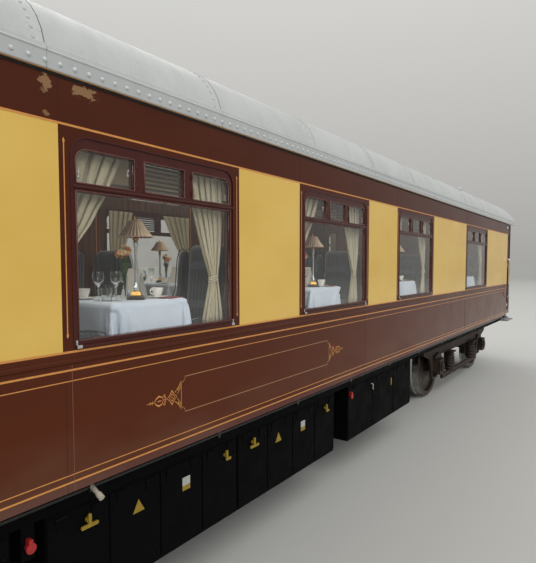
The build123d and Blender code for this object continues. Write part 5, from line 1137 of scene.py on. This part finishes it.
def draped_cloth():
    """One cloth dropped on a table that stands at the origin, its wall at +Y."""
    nx, ny = round(CLOTH_W / CLOTH_STEP), round(CLOTH_L / CLOTH_STEP)
    half_l, half_d = TABLE_L / 2, TABLE_D / 2
    hang = half_d + 0.014
    xs = [CLOTH_W * (i / nx - 0.5) for i in range(nx + 1)]
    ys = [CLOTH_L * (j / ny - 0.5) for j in range(ny + 1)]
    verts = [(x, min(y, hang), 0.006 - max(0.0, y - hang)) for y in ys for x in xs]
    faces = net(ny + 1, nx + 1)
    cloth = link_mesh("cloth_drop", verts, faces)
    board = Shape().box((-half_l, -half_d, -0.03), (half_l, half_d, 0.0))
    table = link_mesh("cloth_table", board.verts, board.faces)
    rounding = table.modifiers.new("rounding", "BEVEL")
    rounding.width, rounding.segments = 0.012, 3
    wall_y = half_d + INNER_Y - 0.018 - TABLE_EDGE_Y
    back = Shape().box((-2, wall_y, -1), (2, wall_y + 0.1, 0.5))
    wall = link_mesh("cloth_wall", back.verts, back.faces)
    for solid in (table, wall):
        solid.modifiers.new("solid", "COLLISION")
        solid.collision.thickness_outer = 0.004
        solid.collision.cloth_friction = 12
    setup = cloth.modifiers.new("cloth", "CLOTH")
    values, hits = setup.settings, setup.collision_settings
    values.quality, values.mass, values.air_damping = 8, 0.3, 2.5
    values.tension_stiffness = values.compression_stiffness = 20
    values.shear_stiffness, values.bending_stiffness = 6, 0.35
    hits.collision_quality, hits.distance_min = 3, 0.004
    hits.use_self_collision, hits.self_distance_min = True, 0.004
    spots = simulated(cloth, setup, CLOTH_FRAMES)
    for piece in (cloth, table, wall):
        remove(piece)
    scene.frame_set(1)
    return spots, faces


def tablecloths():
    spots, faces = draped_cloth()
    for k, (x, side) in enumerate(TABLES):
        turn = -1 if k % 3 == 1 else 1
        verts = [(x + turn * a, side * (TABLE_Y + b), TABLE_Z + c) for a, b, c in spots]
        piece = link_mesh(f"tablecloth_{k + 1}", verts, faces)
        sheet_piece(piece, "cloth", "tablecloths", "cloth", CLOTH_THICK, 1.0 if side * turn > 0 else -1.0,
                    flat=(CLOTH_W, CLOTH_L), held="draped", rests_on=["table_tops"])


tablecloths()

# Lamps: a stepped square foot, a cut glass stem and a pleated shade, near the window
SHADE_R, SHADE_TOP_R, PLEATS, SHADE_T = 0.110, 0.042, 26, 0.0016
SHADE_H, SHADE_UP = shade_high.z - shade_low.z, shade_low.z - CLOTH_Z
STEM_TOP = SHADE_UP - 0.012
LAMP_SPOT = (0, TABLE_EDGE_Y - shade_high.y + SHADE_R)
# Profiles of the foot, the cap on it and the glass stem, as radius and height above the cloth
FOOT_STEPS = [(0.076, 0), (0.076, 0.010), (0.064, 0.013), (0.059, 0.024), (0.046, 0.029)]
FOOT_CAP = [(0.044, 0.027), (0.040, 0.040), (0.034, 0.052), (0.018, 0.060)]
GLASS_STEM = [(0.017, 0.060), (0.021, 0.078), (0.014, 0.098), (0.011, 0.12), (0.0085, STEM_TOP * 0.7),
              (0.0085, STEM_TOP - 0.055), (0.014, STEM_TOP - 0.040), (0.016, STEM_TOP - 0.022),
              (0.010, STEM_TOP - 0.010)]
# Profile of the holder and the finial, as radius and height above the stem
HOLDER = [(0.011, -0.010), (0.019, -0.006), (0.019, 0.004), (0.010, 0.010), (0.009, 0.075), (0.004, 0.080),
          (0.004, SHADE_H + 0.012), (0.010, SHADE_H + 0.018), (0.007, SHADE_H + 0.034),
          (0.001, SHADE_H + 0.042)]
# The shade's levels: share of its height, how far it bows there, and the share of the pleats' depth
SHADE_LEVELS = [(0.0, 0.0, 0.0), (0.06, 0.0, 1.0), (0.5, -0.004, 1.0), (0.94, 0.0, 0.8), (1.0, 0.0, 0.0)]
SHADE_BANDS = ((SHADE_UP + 0.003, SHADE_R - 0.0055), (SHADE_UP + SHADE_H - 0.003, SHADE_TOP_R - 0.0045))


def table_spots(x_off, y_off):
    """One place on each cloth: x_off along the coach, y_off from its window edge towards the aisle."""
    spots = []
    for x, side in TABLES:
        place = Matrix.Translation((x + x_off, side * (TABLE_EDGE_Y - y_off), CLOTH_Z))
        spots.append(place if side > 0 else place @ Matrix.Rotation(pi, 4, "Z"))
    return spots


def lamp_metal():
    """The bronze foot, the brass parts and the glass stem of one lamp that stands at the origin."""
    bronze, brass = Shape().lathe(FOOT_STEPS, sides=4), Shape().lathe(FOOT_CAP, sides=4)
    crystal = Shape().lathe(GLASS_STEM, sides=12)
    brass.lathe([(radius, STEM_TOP + up) for radius, up in HOLDER], sides=16)
    for k in range(3):
        a, top = tau * k / 3, SHADE_UP + SHADE_H
        brass.rod((0.003 * cos(a), 0.003 * sin(a), top - 0.004),
                  (SHADE_TOP_R * 0.96 * cos(a), SHADE_TOP_R * 0.96 * sin(a), top - 0.010), 0.0018, 6)
    return bronze, brass, crystal


def pleated_shade():
    """The shade of one lamp, two skins joined at its foot and its top, and the bands along them."""
    shade, bands = Shape(), Shape()
    ring = 2 * PLEATS
    for inner in (0, 1):
        verts = []
        for share, bow, depth in SHADE_LEVELS:
            radius = SHADE_R + (SHADE_TOP_R - SHADE_R) * share + bow - inner * SHADE_T
            for k in range(ring):
                fold = (0.0060 * radius / SHADE_R + 0.0010) * depth * (1 if k % 2 else -1)
                reach, a = radius + fold - 0.0065, tau * k / ring
                verts.append((reach * cos(a), reach * sin(a), SHADE_UP + SHADE_H * share))
        shade.add(verts, net(len(SHADE_LEVELS), ring, False, True))
    inside = len(SHADE_LEVELS) * ring
    shade.faces += [(a + k, a + (k + 1) % ring, inside + a + (k + 1) % ring, inside + a + k)
                    for a in (0, inside - ring) for k in range(ring)]
    for z, radius in SHADE_BANDS:
        bands.tube([(x, y, z) for x, y in arc((0, 0), radius, 0, 351, 39)], 0.0032, 6, closed=True)
    return shade, bands


def lamps():
    turned = [place @ Matrix.Rotation(pi / 4, 4, "Z") for place in table_spots(*LAMP_SPOT)]
    bronze, brass, crystal = lamp_metal()
    shade, bands = pleated_shade()
    for shape, name, material, smooth in ((brass, "lamp_brasswork", "brass", 35),
                                          (bronze, "lamp_feet", "bronze", 35),
                                          (crystal, "lamp_stems", "crystal", 25)):
        made = Shape().copies(shape, turned)
        made.build(name, material, "lamp_brass", smooth=smooth, replaces=["table_lamps"])
    shades = Shape().copies(shade, turned)
    shades = shades.build("pleated_shades", "silk", "shade_silk", smooth=20, replaces=["lamp_shades"])
    # Every second face of the pleats takes a darker silk: painted shade on the pleats' turned sides
    shades.data.materials.append(MATERIALS["silk_fold"])
    for face in shades.data.polygons:
        face.material_index = face.index % (2 * PLEATS) % 2
    Shape().copies(bands, turned).build("shade_bands", "silk_band", "shade_silk", smooth=60)


lamps()

# Tableware: places from the table's middle and its window edge
VASE_SPOT, CARD_SPOT, FOLDER_SPOT = (0.0, 0.250), (0.118, 0.300), (0.212, 0.062)
CUP_SPOTS = ((0.180, 0.150), (-0.190, 0.420))
GOBLET_SPOTS = ((-0.150, 0.150), (-0.215, 0.235), (0.150, 0.450), (0.225, 0.360))
TUMBLER_SPOTS = ((-0.235, 0.130), (0.060, 0.480))
BLOOMS, PETAL_L = 19, 0.021
# One half of a folded menu card
HALF_CARD = ((0.050, -0.072, 0), (0.050, 0.072, 0), (0.0008, 0.060, 0.195), (0.0008, -0.060, 0.195))


def cup_and_saucer():
    cup = Shape().lathe([(0.020, 0.014), (0.026, 0.018), (0.036, 0.045), (0.040, 0.070), (0.0375, 0.070),
                         (0.033, 0.046), (0.022, 0.021), (0.004, 0.019)])
    cup.lathe([(0.020, 0.006), (0.021, 0.015)])
    ear = ((0.036, 0.060), (0.056, 0.062), (0.063, 0.047), (0.054, 0.031), (0.033, 0.030))
    cup.tube([(x, 0, z) for x, z in ear], 0.0032)
    return cup.lathe([(0.030, 0.0), (0.034, 0.003), (0.074, 0.011), (0.076, 0.0135), (0.050, 0.0085),
                      (0.026, 0.0065)], sides=32)


def glasses():
    """A goblet, a tumbler and a vase."""
    goblet = Shape().lathe([(0.034, 0.0), (0.034, 0.002), (0.006, 0.006), (0.0045, 0.014), (0.0045, 0.085),
                            (0.010, 0.094), (0.030, 0.118), (0.036, 0.145), (0.031, 0.180), (0.0295, 0.180),
                            (0.0345, 0.145), (0.028, 0.119), (0.004, 0.099)])
    tumbler = Shape().lathe([(0.028, 0.0), (0.034, 0.085), (0.032, 0.085), (0.026, 0.010), (0.004, 0.008)])
    vase = Shape().lathe([(0.024, 0.0), (0.030, 0.020), (0.018, 0.070), (0.014, 0.120), (0.020, 0.150),
                          (0.018, 0.150), (0.012, 0.120), (0.015, 0.070), (0.004, 0.010)], sides=20)
    return goblet, tumbler, vase


def blossom():
    """Three whorls of five petals, the outer ones wider open and larger."""
    flower = Shape()
    outline = [(0.002, -0.006, 0), (0.002, 0.006, 0), (0.004, 0.012, 0.008), (0.003, 0.009, 0.017),
               (0.001, 0.0, PETAL_L), (0.003, -0.009, 0.017), (0.004, -0.012, 0.008)]
    for ring, tilt, size in ((0, 12, 0.016), (1, 38, 0.020), (2, 66, 0.023)):
        petal = Shape().slab([Vector(p) * size / PETAL_L for p in outline], (0.0008, 0, 0))
        flower.copies(petal, [Matrix.Rotation(tau * (k + 0.5 * ring) / 5, 4, "Z") @
                              Matrix.Rotation(radians(tilt), 4, "Y") for k in range(5)])
    return flower


def flowers():
    stems, petals, pale_petals = Shape(), Shape(), Shape()
    flower, vases = blossom(), table_spots(*VASE_SPOT)
    leaf = Shape().slab([(0, 0, 0.165), (0.014, 0.004, 0.190), (0.016, 0.030, 0.235), (-0.004, 0.026, 0.220)],
                        (0.0008, 0, 0.0004))
    for k in range(BLOOMS):
        a, lean = k * 2.4, 0.006 + 0.048 * ((k * 7) % BLOOMS) / BLOOMS
        height = 0.335 - 12.0 * lean ** 2 - 0.060 * ((k * 5) % BLOOMS) / BLOOMS
        spot = Vector((lean * cos(a), lean * sin(a), height))
        tip = Matrix.Translation(spot) @ Matrix.Rotation(20 * lean, 4, Vector((-sin(a), cos(a), 0)))
        (petals if k % 2 else pale_petals).copies(flower, [m @ tip for m in vases])
        bends = [(0.002 * cos(a), 0.002 * sin(a), 0.02), (spot.x * 0.3, spot.y * 0.3, 0.14), spot]
        stems.copies(Shape().tube(bends, 0.0016, 5), vases)
        stems.copies(leaf, [m @ Matrix.Rotation(a, 4, "Z") for m in vases])
    return stems, petals, pale_petals


def tableware():
    china, liquid, glassware, cards, folders = [Shape() for _ in range(5)]
    tea = Shape().lathe([(0.036, 0.058), (0.036, 0.0595)])
    for spot in CUP_SPOTS:
        china.copies(cup_and_saucer(), table_spots(*spot))
        liquid.copies(tea, table_spots(*spot))
    for shape, spots in zip(glasses(), (GOBLET_SPOTS, TUMBLER_SPOTS, (VASE_SPOT,))):
        for spot in spots:
            glassware.copies(shape, table_spots(*spot))
    for sign in (-1, 1):
        half = Shape().slab([(sign * x, y, z) for x, y, z in HALF_CARD], (-sign * 0.0012, 0, 0))
        cards.copies(half, table_spots(*CARD_SPOT))
    folder = Shape().box((-0.066, -0.048, 0.0), (0.066, 0.048, 0.004))
    folder.box((-0.064, -0.046, 0.004), (0.064, 0.046, 0.009))
    folders.copies(folder, [m @ Matrix.Rotation(0.15, 4, "Z") for m in table_spots(*FOLDER_SPOT)])
    stems, petals, pale_petals = flowers()
    china.build("cups_and_saucers", "china", "cloth", smooth=40)
    liquid.build("tea", "tea", "cloth")
    glassware.build("glassware", "clear", "glass", smooth=40)
    stems.build("flower_stems", "leaf", "cloth")
    petals.build("flowers", "petal", "cloth")
    pale_petals.build("pale_flowers", "pale_petal", "cloth")
    cards.build("menu_cards", "card", "cloth")
    folders.build("menu_folders", "folder", "upholstery", bevel=0.002)


tableware()

# Curtains: a pleated pair at each large window, drawn in at a tie
# Height above the band's foot, and a curtain's inner and outer edge there, from a saloon window's middle
HUNG_ROWS = [(1.055, 0.285, 0.640), (0.815, 0.345, 0.638), (0.725, 0.375, 0.636), (0.595, 0.420, 0.630),
             (0.468, 0.470, 0.614), (0.375, 0.512, 0.596), (0.335, 0.528, 0.592), (0.250, 0.504, 0.610),
             (0.120, 0.468, 0.628), (0.030, 0.445, 0.636)]
SWEPT_ROWS = [(1.055, 0.200, 0.660), (0.900, 0.276, 0.660), (0.772, 0.345, 0.660), (0.725, 0.379, 0.660),
              (0.649, 0.423, 0.660), (0.543, 0.511, 0.664), (0.480, 0.575, 0.668), (0.420, 0.606, 0.668),
              (0.330, 0.592, 0.676), (0.150, 0.584, 0.680), (0.030, 0.582, 0.682)]
HUNG_TIE, SWEPT_TIE = 0.335, 0.420
CURTAIN_TOP, CURTAIN_FOOT, CURTAIN_T = HUNG_ROWS[0][0], HUNG_ROWS[-1][0], 0.0012
CURTAIN_FOLDS, CURTAIN_DEPTH = 5, 0.0155
CURTAIN_Y, CURTAIN_ASIDE = INNER_Y - 0.0235, 0.040
CURTAIN_COLUMNS, CURTAIN_STEPS = 56, 22


def curtain_edges(rows, height, unit):
    """Distances of a curtain's inner and outer edge from the window's middle."""
    wider = (unit - UNIT_W) / 2
    for (top, *above), (foot, *below) in zip(rows, rows[1:]):
        if height >= foot:
            share = (height - foot) / (top - foot)
            return [wider + b + (a - b) * share for a, b in zip(above, below)]
    return [wider + edge for edge in rows[-1][1:]]


def curtain(number, side, middle_x, sign, rows, unit):
    """One curtain. Its folds differ by its number."""
    verts = []
    for r in range(CURTAIN_STEPS + 1):
        height = CURTAIN_TOP + (CURTAIN_FOOT - CURTAIN_TOP) * r / CURTAIN_STEPS
        inner, outer = curtain_edges(rows, height, unit)
        drift = 0.9 * sin(2.1 * height + number)
        for c in range(CURTAIN_COLUMNS + 1):
            t = c / CURTAIN_COLUMNS
            fold = tau * CURTAIN_FOLDS * t + 0.9 * sin(4 * t + number) + 0.4 * sin(9 * t + 2 * number)
            fold += drift * t
            depth = CURTAIN_DEPTH * (0.7 + 0.3 * sin(7.3 * t + 2 * number + 3 * height))
            across = outer - (outer - inner) * (t + 0.25 / CURTAIN_FOLDS * sin(2 * fold))
            verts.append((middle_x + sign * across, side * (CURTAIN_Y + depth * cos(fold)), BAND_Z + height))
    piece = link_mesh(f"curtain_{number}", verts, net(CURTAIN_STEPS + 1, CURTAIN_COLUMNS + 1))
    area, length = sum(face.area for face in piece.data.polygons), CURTAIN_TOP - CURTAIN_FOOT
    sheet_piece(piece, "linen", "curtains", "curtain_cloth", CURTAIN_T, 0.0, flat=(area / length, length),
                held="gathered", rests_on=["window_frames"])


def curtains():
    ties, number = Shape(), 0
    for side in SIDES:
        for x, unit in LARGE[side]:
            for sign in (-1, 1):
                number += 1
                rows, tie_up = (SWEPT_ROWS, SWEPT_TIE) if sign == side else (HUNG_ROWS, HUNG_TIE)
                middle_x = x + side * CURTAIN_ASIDE
                curtain(number, side, middle_x, sign, rows, unit)
                inner, outer = curtain_edges(rows, tie_up, unit)
                middle, reach = middle_x + sign * (inner + outer) / 2, (outer - inner) / 2 + 0.008
                for shift in (-0.014, 0.0, 0.014):
                    z = BAND_Z + tie_up + shift
                    ties.tube([(middle + reach * a, side * (CURTAIN_Y + 0.0195 * b), z + 0.01 * sign * a)
                               for a, b in arc((0, 0), 1, 0, 345, 23)], 0.0062, 6, closed=True)
    ties.build("curtain_ties", "linen", "curtain_cloth", smooth=60)


curtains()

# Armchairs: cushions blown up from their covers, on turned feet. A chair's front is at x = 0, its back
# towards -X.
CHAIR_W, CHAIR_D, CHAIR_TOP, ARM_TOP, ARM_W = 0.580, 0.600, back_high.z - FLOOR_Z, 0.640, 0.090
CHAIR_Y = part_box("chair_arms")[1].y - CHAIR_W / 2
CHAIR_FRONT_X = SALOON_XS[0] - back_low.x - CHAIR_D
SEAT_W, SEAT_TOP, SEAT_FOOT = CHAIR_W - 2 * ARM_W, 0.445, 0.300
BACK_T, BACK_RAKE = 0.110, 0.080
CUSHION_VOXEL = 0.023
# How far a cushion swells at most, and its gap to the wood
PAD, INSET = 0.012, 0.004
SEAT_HALF = SEAT_W / 2 - INSET
# Outlines of the back and the arms, as X and the height above the floor
BACK_OUTLINE = [(BACK_RAKE + BACK_T, 0.44), (BACK_T, CHAIR_TOP - 0.06), (BACK_T * 0.75, CHAIR_TOP - 0.02),
                (BACK_T * 0.35, CHAIR_TOP - 0.012), (0.012, CHAIR_TOP - 0.05), (BACK_RAKE * 0.95, 0.14),
                (BACK_RAKE + BACK_T - 0.012, 0.14)]
ARM_OUTLINE = [(-0.030, 0.11), (-0.014, ARM_TOP - 0.07), (-0.045, ARM_TOP - 0.020), (-0.10, ARM_TOP - 0.012),
               (-0.32, ARM_TOP + 0.006), (-0.395, ARM_TOP + 0.06), (-0.445, 0.81), (-0.470, CHAIR_TOP - 0.14),
               (-0.495, CHAIR_TOP - 0.07), (-0.540, CHAIR_TOP - 0.053), (-0.574, CHAIR_TOP - 0.085),
               (-0.515, 0.12)]
FOOT_PROFILE = [(0.014, 0.0), (0.022, 0.004), (0.016, 0.02), (0.024, 0.05), (0.030, 0.085), (0.028, 0.115)]
PIPING_R = 0.0042


def chair_spots():
    turns = ((-1, Matrix.Identity(4)), (1, Matrix.Rotation(pi, 4, "Z")))
    return [Matrix.Translation((x + away * CHAIR_FRONT_X, side * CHAIR_Y, FLOOR_Z)) @ turn
            for x, side in TABLES for away, turn in turns]


def blown(cover):
    """A cover remeshed and filled by cloth simulation, each point moving at most by PAD."""
    piece = link_mesh("cover", cover.verts, cover.faces)
    edge = piece.modifiers.new("edge", "BEVEL")
    edge.width, edge.segments = 0.020, 2
    skin = piece.modifiers.new("net", "REMESH")
    skin.mode, skin.voxel_size = "VOXEL", CUSHION_VOXEL
    mesh = bpy.data.meshes.new_from_object(piece.evaluated_get(bpy.context.evaluated_depsgraph_get()))
    remove(piece)
    start = np.array([v.co[:] for v in mesh.vertices])
    faces = [list(face.vertices) for face in mesh.polygons]
    pad = link("pad", mesh)
    setup = pad.modifiers.new("cloth", "CLOTH")
    values = setup.settings
    values.quality, values.use_pressure, values.uniform_pressure_force = 5, True, 4.0
    values.effector_weights.gravity = 0.0
    move = simulated(pad, setup, PAD_FRAMES) - start
    far = np.linalg.norm(move, axis=1, keepdims=True)
    move *= np.minimum(1.0, PAD / np.maximum(far, 1e-9))
    remove(pad)
    scene.frame_set(1)
    return Shape().add(start + move, faces)


def cushions(places):
    half = SEAT_HALF - PAD
    seat = Shape().box((-0.412, -half, SEAT_FOOT + PAD), (-0.005 - PAD, half, SEAT_TOP - PAD))
    back, arms = Shape().slab([(x - CHAIR_D, half, z) for x, z in BACK_OUTLINE], (0, -2 * half, 0)), Shape()
    for y in (CHAIR_W / 2 - PAD, -SEAT_W / 2 - INSET - PAD):
        arms.slab([(x, y, z) for x, z in ARM_OUTLINE], (0, -(ARM_W - INSET - 2 * PAD), 0))
    for cover, name, node, fill in ((seat, "seat_cushions", "chair_seats", 0.7),
                                    (back, "back_cushions", "chair_backs", 0.6),
                                    (arms, "arm_pads", "chair_arms", 0.7)):
        shape = Shape().copies(blown(cover), places)
        piece = shape.build(name, "moquette", "upholstery", smooth=80, replaces=[node])


def armchairs():
    places = chair_spots()
    cushions(places)
    rails, feet, piping = Shape(), Shape(), Shape()
    rails.box((-0.445, -SEAT_W / 2 + 0.002, 0.10), (-0.015, SEAT_W / 2 - 0.002, SEAT_FOOT + 0.01))
    for x in (-0.06, -0.47):
        for y in (-CHAIR_W / 2 + 0.05, CHAIR_W / 2 - 0.05):
            feet.lathe(FOOT_PROFILE, (x, y, 0.0005), sides=12)
    for y in (CHAIR_W / 2 - 0.006, SEAT_W / 2 + 0.010, -SEAT_W / 2 - 0.010, -CHAIR_W / 2 + 0.006):
        piping.tube([(x, y, z) for x, z in ARM_OUTLINE[1:-1]], PIPING_R, 6)
    corners = ((-0.008, -SEAT_HALF), (-0.008, SEAT_HALF), (-0.405, SEAT_HALF), (-0.405, -SEAT_HALF))
    piping.tube([(x, y, SEAT_TOP - 0.016) for x, y in corners], PIPING_R, 6, closed=True)
    for shape, name, material, slot, looks in (
            (rails, "seat_rails", "moquette", "upholstery", {"bevel": 0.006}),
            (feet, "chair_feet", "table", "table_wood", {"smooth": 50}),
            (piping, "seat_piping", "piping", "upholstery", {"smooth": 60})):
        Shape().copies(shape, places).build(name, material, slot, **looks)


armchairs()


# The stage: a pale floor, soft studio light and the camera

# Direction, spread in degrees and strength of the studio's lights
SUNS = {"key": ((-0.35, -0.72, 0.60), 60, 1.5), "fill": ((0.35, 0.72, 0.60), 60, 0.9)}
# The saloon's lamps: places along the coach, height, size, colour and power
LIGHT_XS, LIGHT_Z, LIGHT_SIZE = (-3.3, -1.1, 1.1, 3.3, 6.3, -7.0), 3.55, (1.6, 1.2)
LIGHT_COLOUR, LIGHT_POWER = (1.0, 0.93, 0.82), 12
# The photograph: its height and focal length in pixels, and where the camera stood
PHOTO_H, FOCAL_PX, CENTRE_V, SENSOR_MM = 563, 509, 293.7, 36.0
CAMERA_SPOT = (-3.245, -3.625, 2.307)
HEADING, TILT = radians(35.3), radians(-3.27)


def point_along(piece, direction, axis):
    """Turns a light or a camera so that its axis lies along direction."""
    piece.rotation_mode = "QUATERNION"
    piece.rotation_quaternion = Vector(direction).to_track_quat(axis, "Y")


def studio_floor():
    floor = Shape().box((-400, -400, -0.02), (400, 400, 0.0))
    piece = link_mesh("studio_floor", floor.verts, floor.faces)
    s = Surface("studio_floor", "b9b9b6", 0.85)
    s.paint(s.mix(s.span(s.length(s.place), 14.0, 90.0), "b9b9b6", "8f8f8c"),
            s.span(s.noise(2.0), 0.3, 0.7, 0.8, 0.9))
    piece.data.materials.append(s.mat)


def sky():
    world = scene.world or bpy.data.worlds.new("studio")
    scene.world = world
    world.use_nodes = True
    nodes, links = world.node_tree.nodes, world.node_tree.links
    height = nodes.new("ShaderNodeSeparateXYZ")
    links.new(nodes.new("ShaderNodeTexCoord").outputs["Generated"], height.inputs[0])
    ramp = nodes.new("ShaderNodeValToRGB")
    for stop, (place, colour) in zip(ramp.color_ramp.elements, ((0.0, "aeadaa"), (0.7, "f2f1ee"))):
        stop.position, stop.color = place, rgb(colour)
    links.new(height.outputs["Z"], ramp.inputs[0])
    links.new(ramp.outputs[0], nodes["Background"].inputs["Color"])
    nodes["Background"].inputs["Strength"].default_value = 0.9


def lights():
    for name, (away, spread, strength) in SUNS.items():
        data = bpy.data.lights.new(name, "SUN")
        data.angle, data.energy = radians(spread), strength
        point_along(link(name, data), away, "Z")
    for x in LIGHT_XS:
        data = bpy.data.lights.new("saloon_light", "AREA")
        data.shape, data.energy, data.color = "RECTANGLE", LIGHT_POWER, LIGHT_COLOUR
        data.size, data.size_y = LIGHT_SIZE
        link("saloon_light", data).location = (x, 0, LIGHT_Z)


def camera():
    data = bpy.data.cameras.new("camera")
    data.sensor_width = SENSOR_MM
    data.lens = SENSOR_MM * FOCAL_PX / PHOTO_H
    data.shift_y = (CENTRE_V - PHOTO_H / 2) / PHOTO_H
    data.clip_start, data.clip_end = 0.05, 1000
    scene.camera = link("camera", data)
    scene.camera.location = CAMERA_SPOT
    point_along(scene.camera, (cos(HEADING) * cos(TILT), sin(HEADING) * cos(TILT), sin(TILT)), "-Z")


studio_floor()
sky()
lights()
camera()
scene.view_settings.view_transform = "Standard"
scene.view_settings.look = "None"
